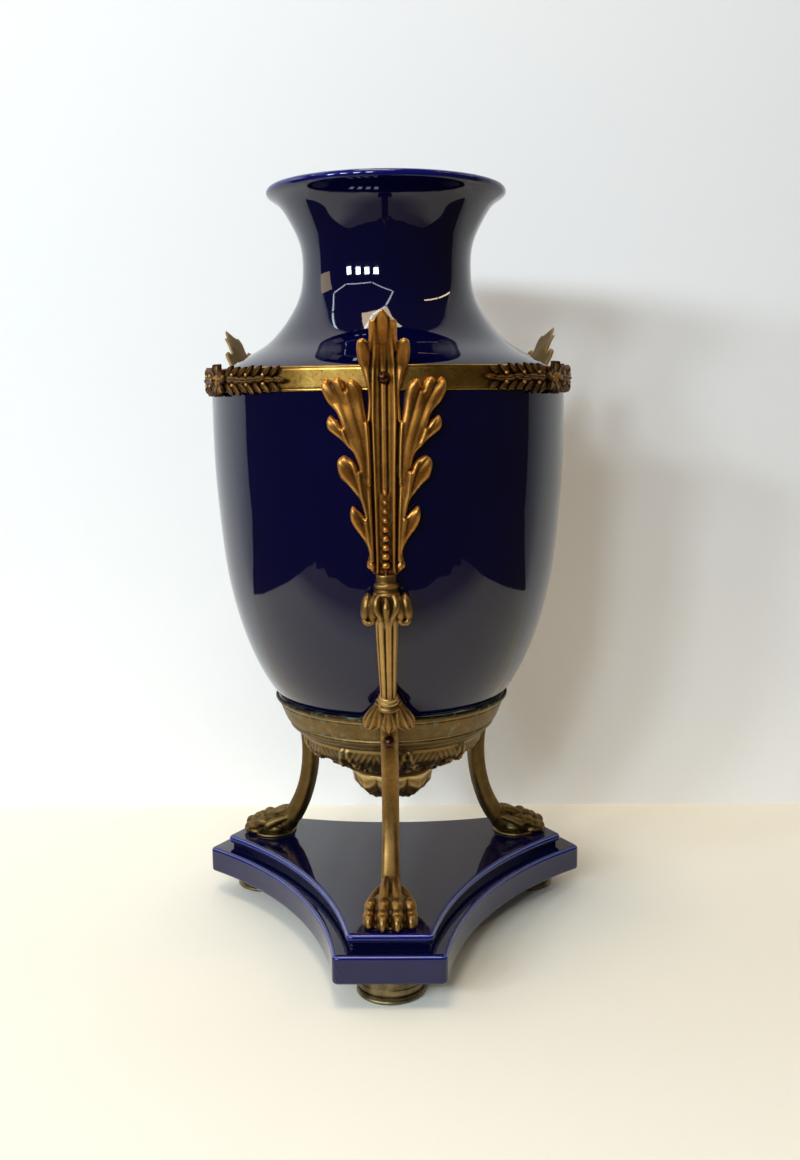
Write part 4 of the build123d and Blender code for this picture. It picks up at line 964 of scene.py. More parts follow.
# The rings above the capital as (radius, height) from the neck ring's foot
neck_ring_line = [(6.2, -1.0), (7.2, 0.0), (8.3, 0.8), (8.3, 1.9), (7.0, 2.6), (6.6, 4.4), (7.4, 5.4),
                  (7.6, 6.6), (6.8, 7.4), (6.1, 8.0), (6.1, 12.6)]
# The stepped ring at the shaft's foot as (radius, distance) along the shaft
foot_ring_line = [(4.6, -2.0), (6.0, -1.9), (6.6, -1.5), (7.0, -0.7), (6.9, 0.2), (6.3, 0.9), (5.9, 1.4),
                  (6.0, 2.6), (5.6, 3.4), (4.6, 3.6)]
# The capital's bulbs as (out, across, half width, half height), and its lines as (out, across, up)
bulb_sizes = [(2.2, 7.4, 3.8, 8.4), (0.4, 12.0, 3.6, 8.8)]
bulb_depth, bulb_rise, bulb_roll = 5.8, 0.6, 8.0
strand_line = [(4.6, 2.2, 9.4), (7.2, 5.2, 6.4), (8.0, 5.6, 0.6), (6.6, 3.2, -5.4), (5.4, 1.4, -11.0)]
curl_line = [(2.6, 13.0, -4.4), (3.0, 12.6, -7.6), (3.4, 10.0, -8.6), (4.4, 8.0, -6.6), (5.0, 8.8, -5.0)]
drop_line = [(6.2, 0.0, 7.4), (8.2, 0.0, 2.6), (7.2, 0.0, -4.0), (5.8, 0.0, -12.0)]


def make_capital():
    """The capital: two split bulbs that curl in at the foot, a drop-shaped leaf between, and rings above."""
    mid_z = capital_z + capital_h * 0.52

    def strand(line, thick, places, side, count):
        points = smooth_line([(capital_x + x, side * y, mid_z + z) for x, y, z in line], count)
        return tube(points, np.interp(np.linspace(0, 1, count), places, thick), columns=14)

    core_line = [(capital_x - 1.0, 0, capital_z - 6.0), (capital_x - 0.5, 0, capital_z + 2.0),
                 (capital_x, 0, capital_z + capital_h)]
    parts = [tube(core_line, [6.0, 6.6, 7.4], columns=32)]
    parts.append(drum((capital_x, 0, neck_ring_z), (0, 0, 1), neck_ring_line))
    for side in (-1, 1):
        for out, across, half_w, half_h in bulb_sizes:
            middle = (capital_x + out, side * across, mid_z + bulb_rise)
            parts.append(egg(middle, (bulb_depth, half_w, half_h), roll=side * bulb_roll))
        parts.append(strand(strand_line, (1.3, 2.1, 0.8), (0, 0.4, 1), side, 32))
        parts.append(strand(curl_line, (1.4, 1.8, 1.3), (0, 0.4, 1), side, 32))
    parts.append(strand(drop_line, (0.8, 2.6, 0.6), (0, 0.35, 1), 1, 30))
    return melted(parts, voxel=0.42, passes=1)


def make_foot_ring():
    """The stepped ring at the shaft's foot, above the petals."""
    middle, way, _ = shaft_at(0.0)
    return drum(middle, way, foot_ring_line, columns=48)


gilt = looks["gilt_bronze"]
shaft = joined([make_shaft(), make_foot_ring()])
three("shaft_", leg_names, shaft, gilt, gilt, "gilt_bronze", "leg_shaft_", relief_size=0.35, crease=60)
three("capital_", leg_names, make_capital(), gilt, gilt, "gilt_bronze", "leg_shaft_", relief_size=0.5)


# Bowl, boss and plaster

rim_lip_r = belly_r * 0.6815
rim_lip_t = 1.4
rim_t = 2.8
cup_r = belly_r * 0.526
cup_t = 3.4
boss_r = belly_r * 0.2391
rim_shares = [(0.947, 0.619), (0.896, 0.306), (0.846, 0.142), (0.790, 0.0)]
cup_shares = [(0.988, 0.79), (0.952, 0.708), (0.833, 0.607), (0.655, 0.486), (0.467, 0.375), (0.265, 0.260),
              (0.09, 0.132)]
boss_shares = [(0.946, 0.797), (0.900, 0.609), (0.796, 0.406), (0.607, 0.208), (0.330, 0.06)]
rim_points = [(rim_lip_r, rim_top)] + [(rim_lip_r * r, rim_z + rim_h * z) for r, z in rim_shares]
# Beads and, with a negative rise, grooves of the rim as (height, half width, rise)
rim_beads = [(rim_top - 1.6, 1.3, 0.9), (rim_top - 4.6, 0.5, -0.5), (rim_top - 18.0, 0.7, -0.55),
             (rim_z + 5.6, 1.6, 0.6), (rim_z + 8.6, 0.45, -0.45)]


def bead_on(line, at, width, rise):
    """How much a bead or, with a negative rise, a groove lifts an outline near one height."""
    return rise * np.exp(-((line[:, 1] - at) / width) ** 4)


def make_rim():
    """The flared rim: a rolled lip, two fine lines under it, and a stepped ring at its foot."""
    outer = smooth_line(rim_points[:4], 90)
    foot_r_top, foot_z_top = rim_points[3]
    last = smooth_line([rim_points[3], (foot_r_top * 0.985, foot_z_top - 1.6), rim_points[4]], 16)[1:]
    outer = np.concatenate([outer, last])
    out = normals_of(outer[::-1])[::-1]
    rise = sum(bead_on(outer, *bead) for bead in rim_beads)
    outer = outer + out * rise[:, None]
    inner = [(rim_lip_r - rim_lip_t, rim_top)] + [(r - rim_t, z) for r, z in rim_points[1:-1]]
    inner = inner + [(cup_r - cup_t, rim_points[-2][1]), (cup_r - cup_t, rim_z)]
    return turned(np.concatenate([outer, array(inner[::-1])]), 240, closed=True)


def spiral_gap(x, y, size, coils, hand):
    """The distance to a spiral about the origin whose outer end is at size, for points in its plane."""
    radius = np.hypot(x, y)
    angle = hand * np.arctan2(y, x)
    pitch = size / coils
    best = np.full(np.shape(x), 1e9)
    for k in range(coils + 1):
        arm = pitch * (angle / (2 * pi) + k)
        gap = np.where((arm >= 0) & (arm <= size), np.abs(radius - arm), 1e9)
        best = np.minimum(best, gap)
    return best


cup_repeats = 9
# The cup's scrolls as (across, up, size, hand), placed in shares of a repeat's half width and height
cup_scrolls = ((0.60, 0.66, 6.6, 1), (0.30, 0.34, 4.6, -1))
scroll_coils, scroll_h, scroll_w = 2, 1.1, 0.85
stalk_h, stalk_w, stalk_end = 1.3, 1.6, 0.95
# The boss's leaves: how many, and how high their bodies, midribs and veins stand
boss_lobes = 8
lobe_h, lobe_rib_h, lobe_vein_h = 2.2, 0.7, 0.35
lobe_rib_w, lobe_veins = 0.13, 38
plaster_depth, plaster_ragged, plaster_seed = 9.0, 0.55, 7


def cup_lift(outline, turns):
    """Scrolling leaves round the cup, mirrored about each repeat's middle, as a height above the outline."""
    run = run_along(outline)
    cell = 2 * pi / cup_repeats
    local = (turns + cell / 2) % cell - cell / 2
    x = np.abs(outline[:, 0][:, None] * local[None, :])
    y = run[-1] - run[:, None] + 0 * x
    width = outline[:, 0][:, None] * cell / 2
    top = run[-1]
    lift = np.zeros_like(x)
    for cx, cy, size, hand in cup_scrolls:
        across, upwards = x - cx * width, y - cy * top
        gap = spiral_gap(across, upwards, size, scroll_coils, hand)
        disc = np.clip(1 - (np.hypot(across, upwards) / size) ** 4, 0, 1)
        lift += disc + scroll_h * np.exp(-(gap / scroll_w) ** 2) * disc
    stalk = np.abs(x - 0.09 * width - 0.25 * width * np.sin(y / top * pi) ** 2)
    lift += stalk_h * np.exp(-(stalk / stalk_w) ** 2) * np.clip((stalk_end - y / top) / 0.1, 0, 1)
    lift += 0.25 * np.sin(x * 1.5 + y * 0.9) * np.exp(-((y / top - 0.35) / 0.3) ** 4)
    fade = np.clip(y / 2.5, 0, 1) * np.clip((top - y - 4.5) / 2.0, 0, 1)
    return lift * fade


def make_cup():
    """The cast cup under the rim, with scrolling leaves in relief."""
    points = [(cup_r, rim_z)] + [(boss_r + (cup_r - boss_r) * r, cup_z + cup_h * z) for r, z in cup_shares]
    outer = smooth_line(points + [(boss_r, cup_z)], 110)[::-1]
    return turned(outer, 720, lift=cup_lift)


def boss_lift(outline, turns):
    """Leaves round the boss that meet at its foot, each with a midrib and slanting veins."""
    run = run_along(outline)
    share = (run / run[-1])[:, None]
    wave = np.abs(np.cos(turns * boss_lobes / 2))[None, :]
    hill = np.sin(np.clip(share, 0, 1) * pi)
    body = lobe_h * wave ** 0.6 * hill ** 0.5
    middle = np.abs(np.sin(turns * boss_lobes / 2))
    rib = lobe_rib_h * np.exp(-((middle / lobe_rib_w) ** 2))[None, :] * hill
    veins = lobe_vein_h * np.sin(share * lobe_veins + 5.0 * wave) * wave * hill
    return body + rib + veins


def make_boss():
    """The rounded boss under the cup, with a small button at its foot."""
    points = [(boss_r, cup_z)] + [(boss_r * r, boss_z + boss_h * z) for r, z in boss_shares] + [(0.4, boss_z)]
    outer = smooth_line(points, 70)[::-1]
    return turned(outer, 360, lift=boss_lift)


def make_plaster():
    """The plaster between vase and rim, with a ragged line of it at the lip."""
    segments = 300
    turns = full_turn(segments)
    generator = np.random.default_rng(plaster_seed)
    ragged = np.zeros(segments)
    for wave in range(3, 40):
        ragged += np.cos(turns * wave + generator.uniform(0, 2 * pi)) * generator.uniform(0, 1) / wave ** 0.6
    ragged = plaster_ragged * ragged / np.abs(ragged).max()
    inner_r = float(belly_r_at(rim_top)) + 0.1
    low_r = float(belly_r_at(rim_top - plaster_depth)) + 0.1
    outer_r, low_outer = rim_lip_r - rim_lip_t - 0.2, rim_lip_r * 0.962 - rim_t - 0.1
    rings = []
    for r, drop, share in ((low_r, plaster_depth, 0), (inner_r, 0.6, 1), ((inner_r + outer_r) / 2, 0.1, 1),
                           (outer_r, 0.7, 1), (low_outer, plaster_depth, 0)):
        rings.append(np.stack([r * np.cos(turns), r * np.sin(turns), rim_top - drop + ragged * share], 1))
    return array(rings).reshape(-1, 3), grid_faces(5, segments, wrap_rows=True)


aged = looks["aged_bronze"]
piece("bowl_rim_turned", make_rim(), aged, "aged_bronze", ["bowl_rim"], relief_size=0.35, crease=50)
piece("bowl_cup_cast", make_cup(), looks["cup_bronze"], "aged_bronze", ["bowl_cup"], relief_size=0.5)
piece("boss_cast", make_boss(), aged, "aged_bronze", ["pendant_boss"], relief_size=0.5)
piece("plaster_line", make_plaster(), looks["plaster_white"], "plaster", ["plaster_bed"])


# Petal collars

collar_len = 20.4
collar_depth_share = 0.66
# The collar's ring as (radius, distance) up the shaft, its petals as (turn, half angle, length, flare, ribs)
collar_ring_line = [(6.0, -4.6), (8.0, -3.4), (8.4, -2.2), (7.6, -1.0), (6.4, -0.4)]
collar_petals = [(62, 42, 18.0, 6.6, 4), (-62, 42, 18.0, 6.6, 4), (0, 17, 17.4, 6.4, 2),
                 (124, 30, 16.0, 3.2, 2), (-124, 30, 16.0, 3.2, 2)]
# Where a petal starts to narrow to its lip, its root's radius and share of width, and its thickness
petal_lip_start, petal_root_r, petal_root_share, petal_t = 0.7, 6.4, 0.62, 0.9


def shaft_foot():
    """The middle of the shaft's lower end and the direction up the shaft there."""
    middle, way, _ = shaft_at(0.0)
    return middle - way * (foot_ring_h / 2), way


def petal(turn, half_angle, length, flare, ribs):
    """A ribbed petal of the collar's bell, with a scalloped and turned-down lip: a closed curved plate."""
    origin, up = shaft_foot()
    u = array([0.0, 1.0, 0.0])
    v = np.cross(up, u)
    rows, columns = 44, 48
    s = np.linspace(0, 1, rows)
    t = np.linspace(-1, 1, columns)
    widening = np.sin(np.clip(s / 0.8, 0, 1) * pi / 2)
    half = radians(half_angle) * (petal_root_share + (1 - petal_root_share) * widening)
    lip = np.sqrt(np.clip(1 - ((s - petal_lip_start) / 0.32) ** 2, 0.0, 1))
    half = half * np.where(s > petal_lip_start, lip, 1)
    bell = petal_root_r + flare * np.sin(np.clip(s / 0.85, 0, 1) * pi / 2) ** 1.3
    wave = np.cos(t * ribs * pi)[None, :]
    low = length * s[:, None] * (1 + 0.04 * wave * s[:, None] ** 4)
    edge = np.sqrt(np.clip(1 - np.abs(t) ** 6, 0, 1))[None, :]
    front = petal_t + (1.1 + 0.7 * wave * np.clip(s * 2, 0, 1)[:, None]) * edge
    crown = 1.5 * (1 - t ** 2)[None, :] * s[:, None]
    layers = []
    for rise in (front, -0.2):
        radius = bell[:, None] + rise + crown
        angle = radians(turn) + half[:, None] * t[None, :]
        around = np.sin(angle)[..., None] * u - collar_depth_share * np.cos(angle)[..., None] * v
        layers.append(origin - up * low[..., None] + around * radius[..., None])
    return plate(*layers)


def make_collar():
    """The calyx over the knee: two broad ribbed petals, a narrow one in front and smaller ones behind."""
    origin, up = shaft_foot()
    core_line = [origin + up * 0.5, origin - up * 6.0, origin - up * (collar_len - 6.0)]
    core = tube(core_line, [6.2, 6.4, 5.9], columns=32)
    petals = [petal(*sizes) for sizes in collar_petals]
    return melted([core, drum(origin, up, collar_ring_line)] + petals, voxel=0.42, passes=1)


three("collar_", leg_names, make_collar(), gilt, gilt, "gilt_bronze", "petal_collar_", relief_size=0.5)


# Lower legs with their paws

leg_waist_r = belly_r * 0.5961
leg_waist_rise = 22.5
knee_stand = 8.0
knee_rise = 18.0
ankle_rise = 15.5
paw_len = 38.0
upper_reach = 128.6
ankle_r = upper_reach - 41.6
toe_end = upper_reach - 2.5
# Half widths of the leg and radii of a toe, each as places along it in shares and the sizes there
leg_radii = [0, 0.1, 0.35, 0.75, 1.0], [5.6, 5.8, 5.6, 5.6, 6.4]
toe_radii = [0, 0.34, 0.58, 0.8, 1], [3.6, 4.1, 3.5, 4.0, 3.3]
# The heel, the back and the ball of the paw as (distance from the heel, height, half sizes, lean)
paw_pads = [(9.0, 7.2, (9.0, 10.0, 6.0), 0), (16.0, 8.6, (11.0, 12.6, 7.0), 18),
            (22.0, 4.6, (9.0, 14.6, 4.6), 0)]
# The two ridges of each half of the foot, as end radii and (out, across, up) steps from the ankle
foot_bones = [((2.5, 3.7), [(2.6, 2.8, 4.0), (11.0, 3.5, 1.6), (19.0, 4.3, -3.4)]),
              ((1.8, 3.5), [(1.6, 5.6, -1.0), (8.0, 9.4, -3.4), (14.0, 12.2, -6.8)])]
# The inner and the outer toe: how far across, how far behind the paw's end, how much lower
toe_places = [(4.4, 6.4, 0.0), (12.9, 11.0, 1.4)]
# A toe as steps along it, shares of its place across and heights, and a claw as steps from the toe's tip
toe_line = [(-13.0, 0.86, 10.4), (-7.6, 0.95, 11.4), (-4.2, 1.0, 8.6), (-0.6, 1.02, 7.2), (1.6, 1.02, 5.4)]
claw_steps = array([(1.2, 0, 2.6), (3.4, 0, 1.4), (4.4, 0, -0.8), (4.5, 0, -2.4)])
paw_plate_line = [(16.6, 0.0), (16.8, 0.8), (16.2, 1.7)]


def rim_r_at(height):
    """The outside radius of the bowl's rim at a height."""
    points = array(rim_points[::-1])
    return float(np.interp(height, points[:, 1], points[:, 0]))


def bow(start, end, count):
    """A circular arc in the radial plane that leaves its start upright and passes through its end."""
    out, rise = end[0] - start[0], end[1] - start[1]
    radius = (out ** 2 + rise ** 2) / (2 * out)
    turn = np.arcsin(abs(rise) / radius) * np.linspace(0, 1, count)
    return np.stack([start[0] + radius * (1 - np.cos(turn)), np.zeros(count),
                     start[1] + np.sign(rise) * radius * np.sin(turn)], 1)


def make_paw_leg():
    """The bowed lower leg with a lion's paw: heel, metatarsal ridges, four knuckled toes and claws."""
    knee_z = rim_z + knee_rise
    knee = (rim_r_at(knee_z) + knee_stand, knee_z)
    waist = (leg_waist_r, boss_z + leg_waist_rise)
    ankle = (ankle_r, plinth_top + ankle_rise)
    origin, up = shaft_foot()
    stub = origin - up * (collar_len - 2.0)
    path = np.concatenate([[stub, stub - up * 4.0], bow(waist, knee, 24)[::-1], bow(waist, ankle, 30)[1:]])
    share = np.linspace(0, 1, len(path))
    half = np.interp(share, *leg_radii)
    parts = [tube(path, half, columns=40, square=3.4)]
    heel = toe_end - paw_len
    instep = [(ankle[0] - 1.0, 0, ankle[1] + 2.0), (ankle[0] + 5.5, 0, plinth_top + 10.5)]
    parts.append(tube(instep, [6.2, 8.6], columns=28))
    for out, rise, sizes, lean in paw_pads:
        parts.append(egg((heel + out, 0, plinth_top + rise), sizes, lean=lean))
    for side in (-1, 1):
        for thick, line in foot_bones:
            points = [(ankle[0] + x, side * y, ankle[1] + z) for x, y, z in line]
            parts.append(tube(smooth_line(points, 16), np.linspace(*thick, 16), columns=16))
        parts.append(egg((heel + 12.0, side * 9.5, plinth_top + 5.2), (8.0, 4.2, 3.6), turn=side * 12))
        for spread, back, low in toe_places:
            reach = toe_end - back
            points = [(reach + x, side * spread * y, plinth_top + z - low) for x, y, z in toe_line]
            radii = np.interp(np.linspace(0, 1, 24), *toe_radii)
            parts.append(tube(smooth_line(points, 24), radii, columns=20))
            tip = array([reach + 1.6, side * spread * 1.02, plinth_top + 5.0 - low])
            parts.append(egg(tip + [0.8, 0, -1.6 + low / 2], (3.8, 3.8, 3.6)))
            claw = array([tip + step for step in claw_steps])
            claw[-1, 2] += low
            parts.append(tube(smooth_line(claw, 12), np.linspace(2.4, 1.7, 12), columns=14))
            parts.append(egg(tip + [-3.5, 0, -2.4 + low], (6.0, 4.2, 2.6)))
    parts.append(drum((heel + 17.0, 0, plinth_top), (0, 0, 1), paw_plate_line, columns=56))
    verts, faces = melted(parts, voxel=0.45, passes=2)
    verts[:, 2] = np.where(verts[:, 0] > heel - 3, np.maximum(verts[:, 2], plinth_top + 0.02), verts[:, 2])
    return verts, faces


three("lower_leg_", leg_names, make_paw_leg(), gilt, looks["rear_bronze"], "gilt_bronze", "paw_leg_",
      relief_size=0.5)


# Garlands and rosettes

strip_r = belly_r + 0.3
garland_span = 62.0
rosette_r = 10.4
rosette_petals, petal_half_angle = 5, 37.0
heart_r, grain_r, grain_count = 3.1, 0.62, 26
golden = 2.39996
# Laurel: rows a side, where the first row starts, how far the last one stays from the end, and a leaf's sizes
laurel_rows, laurel_start, laurel_end_gap, laurel_seed = 7, 8.0, 12.0, 11
laurel_leaf_len, laurel_leaf_w, laurel_splay = 13.6, 5.8, 34.0
berry_r = 1.25


def on_band(along, up, out):
    """A point on the band: a distance along it, a height above its middle and a distance out from it."""
    angle = along / strip_r
    radius = strip_r + out
    return np.stack([radius * np.cos(angle), radius * np.sin(angle), band_mid + up + 0 * angle], -1)


def laurel_leaf(along, up, way, length, width, rise, tilt):
    """One folded laurel leaf with a raised midrib, pointing in a direction on the band."""
    rows, columns = 22, 13
    s = np.linspace(0, 1, rows)[:, None]
    t = np.linspace(-1, 1, columns)[None, :]
    half = width / 2 * np.sin(np.clip(s, 0.001, 1) ** 0.85 * pi) ** 0.75 * (1 - 0.25 * s) + 0.05
    a = along + way[0] * length * s - way[1] * half * t
    b = up + way[1] * length * s + way[0] * half * t
    arch = rise + tilt * s + 0.9 * np.sin(s * pi)
    rib = 0.75 * np.exp(-(t / 0.16) ** 2) - 0.9 * np.abs(t) ** 2
    veins = 0.16 * np.sin((s * 7 - np.abs(t) * 1.6) * 2 * pi) * (1 - np.abs(t)) * np.sin(s * pi)
    front = arch + 1.2 + (rib + veins) * np.sin(np.clip(s, 0, 1) * pi) ** 0.5
    back = arch - 0.3 - 0.7 * np.abs(t) ** 2 * np.sin(s * pi) ** 0.5
    return plate(on_band(a, b, front), on_band(a, b, back))


def make_garland():
    """A laurel spray each way from the middle: three rows of folded leaves with berries among them."""
    generator = np.random.default_rng(laurel_seed)
    half_span = strip_r * radians(garland_span / 2)
    parts = []
    for side in (-1, 1):
        for row in range(laurel_rows):
            share = row / (laurel_rows - 1)
            along = laurel_start + (half_span - laurel_start - laurel_end_gap) * share
            size = 1.0 - 0.25 * share
            length, width = laurel_leaf_len * size, laurel_leaf_w * size
            for lane in (-1, 0, 1):
                splay = radians(laurel_splay * lane + generator.uniform(-5, 5))
                start = along + (2.0 if lane == 0 else 0.0) + generator.uniform(-0.6, 0.6)
                way = (side * cos(splay), sin(splay))
                rise = 0.6 + (1.1 if lane == 0 else 0.3) - 0.3 * share
                parts.append(laurel_leaf(side * start, 1.4 * lane, way, length, width, rise, 0.8))
            if row % 2 == 1:
                for lane in (-1, 1):
                    spot = side * (along + 3.4)
                    centre = on_band(array(spot), array(3.3 * lane * size), array(3.0))
                    parts.append(egg(centre, (berry_r, berry_r, berry_r)))
    return joined(parts)


def make_rosette():
    """Five rolled, notched petals about a granular heart, on the garland's middle."""
    rows, columns = 18, 17
    parts = []
    for k in range(rosette_petals):
        turn = radians(90.0 + 360.0 / rosette_petals * k)
        s = np.linspace(0, 1, rows)[:, None]
        t = np.linspace(-1, 1, columns)[None, :]
        reach = 2.0 + (rosette_r - 2.0) * s * (1 - 0.13 * np.exp(-(t / 0.28) ** 2) * s ** 3)
        half = radians(petal_half_angle) * np.sin((0.25 + 0.62 * s) * pi * 0.92) ** 0.6
        angle = turn + half * t * (1 - 0.25 * np.clip(s - 0.75, 0, 1) * 4 * np.abs(t) ** 3)
        a, b = reach * np.cos(angle), reach * np.sin(angle)
        roll = 1.5 * np.sin(s * pi * 0.8) + 1.3 * np.abs(t) ** 2.5 * s - 0.9 * np.exp(-(t / 0.2) ** 2) * s
        front, back = 2.0 + roll + 0.6, 0.9 + roll * 0.7
        parts.append(plate(on_band(a, b, front + 0.5), on_band(a, b, back)))
    parts.append(egg(on_band(array(0.0), array(0.0), array(3.0)), (2.6, 3.2, 3.2)))
    for k in range(grain_count):
        r = heart_r * sqrt((k + 0.5) / grain_count)
        place = on_band(array(r * cos(golden * k)), array(r * sin(golden * k)), array(5.4 - 0.12 * r ** 2))
        parts.append(egg(place, (grain_r, grain_r, grain_r)))
    return joined(parts)


garland_look = looks["garland_bronze"]
three("laurel_", garland_names, make_garland(), garland_look, garland_look, "aged_bronze", "laurel_garland_",
      start=half_turn, relief_size=0.4)
three("flower_", garland_names, make_rosette(), garland_look, garland_look, "aged_bronze", "rosette_",
      start=half_turn, relief_size=0.4)


# Plinth

upper_corner_w = upper_reach * 0.2061
upper_side = upper_reach * 0.542
lower_reach = upper_reach + 10.6
lower_corner_w = upper_corner_w + 8.2
lower_side = upper_side + 9.2
corner_r = 4.0
plinth_turn = -90.0
lower_edge_r, upper_edge_r, cove_set_back = 2.4, 2.6, 2.4


def side_arc(reach, corner_w, side):
    """The centre distance and radius of the concave side between two corner ends, and its half angle."""
    end = array([reach * cos(pi / 3) + corner_w * sin(pi / 3), reach * sin(pi / 3) - corner_w * cos(pi / 3)])
    centre = (end @ end - side ** 2) / (2 * (end[0] - side))
    return centre, centre - side


def corner_fillet(reach, corner_w, side):
    """The centres of the rounding and of the concave side that meet at the +X end's right hand corner."""
    centre_far, radius = side_arc(reach, corner_w, side)
    far = array([cos(pi / 3), sin(pi / 3)]) * centre_far
    x = reach - corner_r
    rise = (radius + corner_r) ** 2 - (x - far[0]) ** 2
    return array([x, far[1] - sqrt(rise)]), far


def plinth_ring(reach, corner_w, side, end_count=14, round_count=10, side_count=40):
    """The closed outline of a slab as points with outward normals, always with the same number of points."""
    middle, far = corner_fillet(reach, corner_w, side)
    to_side = far - middle
    side_angle = atan2(to_side[1], to_side[0])
    points, normals = [], []
    for y in np.linspace(-middle[1], middle[1], end_count):
        points.append((reach, y))
        normals.append((1, 0))
    for a in np.linspace(0, side_angle, round_count)[1:]:
        points.append((middle[0] + corner_r * cos(a), middle[1] + corner_r * sin(a)))
        normals.append((cos(a), sin(a)))
    _, radius = side_arc(reach, corner_w, side)
    start = side_angle + pi
    end = 2 * (pi / 3 + pi) - start
    for a in np.linspace(start, end, side_count)[1:]:
        points.append((far[0] + radius * cos(a), far[1] + radius * sin(a)))
        normals.append((-cos(a), -sin(a)))
    third = 2 * pi / 3
    next_middle = array([[cos(third), sin(third)], [sin(third), -cos(third)]]) @ middle
    for a in np.linspace(third - side_angle, third, round_count)[1:-1]:
        points.append((next_middle[0] + corner_r * cos(a), next_middle[1] + corner_r * sin(a)))
        normals.append((cos(a), sin(a)))
    points, normals = array(points), array(normals)
    rings, ring_normals = [], []
    for k in range(3):
        a = 2 * pi * k / 3 + radians(plinth_turn)
        spin = array([[cos(a), -sin(a)], [sin(a), cos(a)]])
        rings.append(points @ spin.T)
        ring_normals.append(normals @ spin.T)
    return np.concatenate(rings), np.concatenate(ring_normals)


def make_plinth():
    """The glazed plinth as one skin: a deep lower slab, a set-back cove and a beaded upper slab."""
    lower, lower_out = plinth_ring(lower_reach, lower_corner_w, lower_side)
    upper, upper_out = plinth_ring(upper_reach, upper_corner_w, upper_side)
    edge, bead, set_back = lower_edge_r, upper_edge_r, cove_set_back
    upper_quarter = np.linspace(0, 90, 9)
    steps = []

    def ring(base, out, inset, height, thin_and_highlight=0.0, shrink=1.0):
        outline = (base - out * inset) * shrink
        steps.append((np.concatenate([outline, np.full((len(base), 1), height)], 1), thin_and_highlight))

    def rounding(base, out, radius, middle_z, angles, thin_and_highlight_at):
        for a in angles:
            rise = radius * sin(radians(a))
            ring(base, out, radius - radius * cos(radians(a)), middle_z + rise, thin_and_highlight_at(a))

    # Each ring carries a paleness for the glaze: paler faces where it runs thinner, and a painted highlight
    # line at the middle of the two top roundings.
    for shrink in (0.02, 0.3, 0.6, 0.85, 0.97):
        ring(lower, lower_out, edge, foot_h, shrink=shrink)
    rounding(lower, lower_out, edge, foot_h + edge, np.linspace(-90, 0, 8), lambda a: 0.2)
    for z in np.linspace(foot_h + edge, cove_z - edge, 6)[1:-1]:
        ring(lower, lower_out, 0.0, z, 0.2)
    rounding(lower, lower_out, edge, cove_z - edge, upper_quarter, lambda a: 1.0 - 0.75 * abs(a - 45) / 45)
    neck = upper - upper_out * set_back
    ledge = lower - lower_out * edge
    for share in (0.15, 0.5, 0.85):
        middle = ledge + (neck - ledge) * share
        steps.append((np.concatenate([middle, np.full((len(middle), 1), cove_z)], 1), 0.0))
    ring(upper, upper_out, set_back + 0.5, cove_z + 0.1, 0.0)
    for share in (0.2, 0.5, 0.8, 1.0):
        ring(upper, upper_out, set_back + 0.5 * sin(share * pi), cove_z + cove_h * share, 0.0)
    rounding(upper, upper_out, bead, slab_z + bead, np.linspace(-90, 0, 9), lambda a: 0.45 * (a + 90) / 90)
    ring(upper, upper_out, 0.0, (slab_z + plinth_top) / 2, 0.5)
    rounding(upper, upper_out, bead, plinth_top - bead, upper_quarter, lambda a: 1.0 - 0.6 * abs(a - 45) / 45)
    for shrink, thin_and_highlight in ((0.99, 0.1), (0.95, 0.0), (0.85, 0.0), (0.6, 0.0), (0.3, 0.0), (0.02, 0.0)):
        ring(upper, upper_out, bead, plinth_top, thin_and_highlight, shrink)
    rings = array([s[0] for s in steps])
    columns = rings.shape[1]
    tips = (0, 0, foot_h), (0, 0, plinth_top)
    thin_and_highlight = np.concatenate([np.repeat([s[1] for s in steps], columns), [0, 0]])
    return round_end(rings, grid_faces(len(rings), columns), columns, *tips), thin_and_highlight


plinth_shape, plinth_thin_and_highlight = make_plinth()
piece("glazed_plinth", plinth_shape, plinth_glaze, "cobalt_glaze", ["plinth"], thin_and_highlight=plinth_thin_and_highlight, crease=60)


# Feet, nuts and pins

foot_circle_r = upper_reach - 15.5
foot_r = 21.6
# Steps longer than this get an extra point this near to each of their ends
crisp_step, crisp_gap = 0.4, 0.12
# A foot's outline from the table up: how far inside its radius, and the height
foot_line = [(2.0, 0.0), (0.5, 0.15), (0.0, 0.8), (0.0, 1.5), (0.35, 2.2), (0.9, 2.6), (0.7, 3.2),
             (0.35, 3.9), (1.0, 4.3), (2.0, 4.6), (2.0, 5.2), (0.7, 5.6), (0.4, 6.4), (0.4, 9.0), (0.8, 9.4),
             (0.4, 9.8), (0.4, 14.6)]


def make_foot():
    """A turned brass foot: a flange with a bright edge, a groove, and a drum with fine lines."""
    outline = [(foot_r - inset, height) for inset, height in foot_line + [(1.0, foot_h)]]
    return drum((foot_circle_r, 0, 0), (0, 0, 1), smooth_steps(outline), columns=96)


def smooth_steps(outline):
    """The outline with an extra point either side of each corner, so that it shades crisply."""
    out = []
    line = array(outline)
    for k, p in enumerate(line):
        for other in (line[max(k - 1, 0)], None, line[min(k + 1, len(line) - 1)]):
            if other is None:
                out.append(tuple(p))
            elif np.linalg.norm(other - p) > crisp_step:
                out.append(tuple(p + unit(other - p) * crisp_gap))
    return out


three("turned_foot_", leg_names, make_foot(), foot_brass, foot_brass, "foot_brass", "foot_", relief_size=0.3,
      crease=60)


def dome(radius, height):
    """The outline of a domed cap nut with a narrow shoulder."""
    lean = np.radians(np.linspace(0, 88, 12))
    cap = [(radius * 0.94 * cos(a), height * 0.28 + height * 0.72 * sin(a)) for a in lean]
    return [(radius * 0.9, 0.0), (radius, height * 0.05), (radius, height * 0.24)] + cap


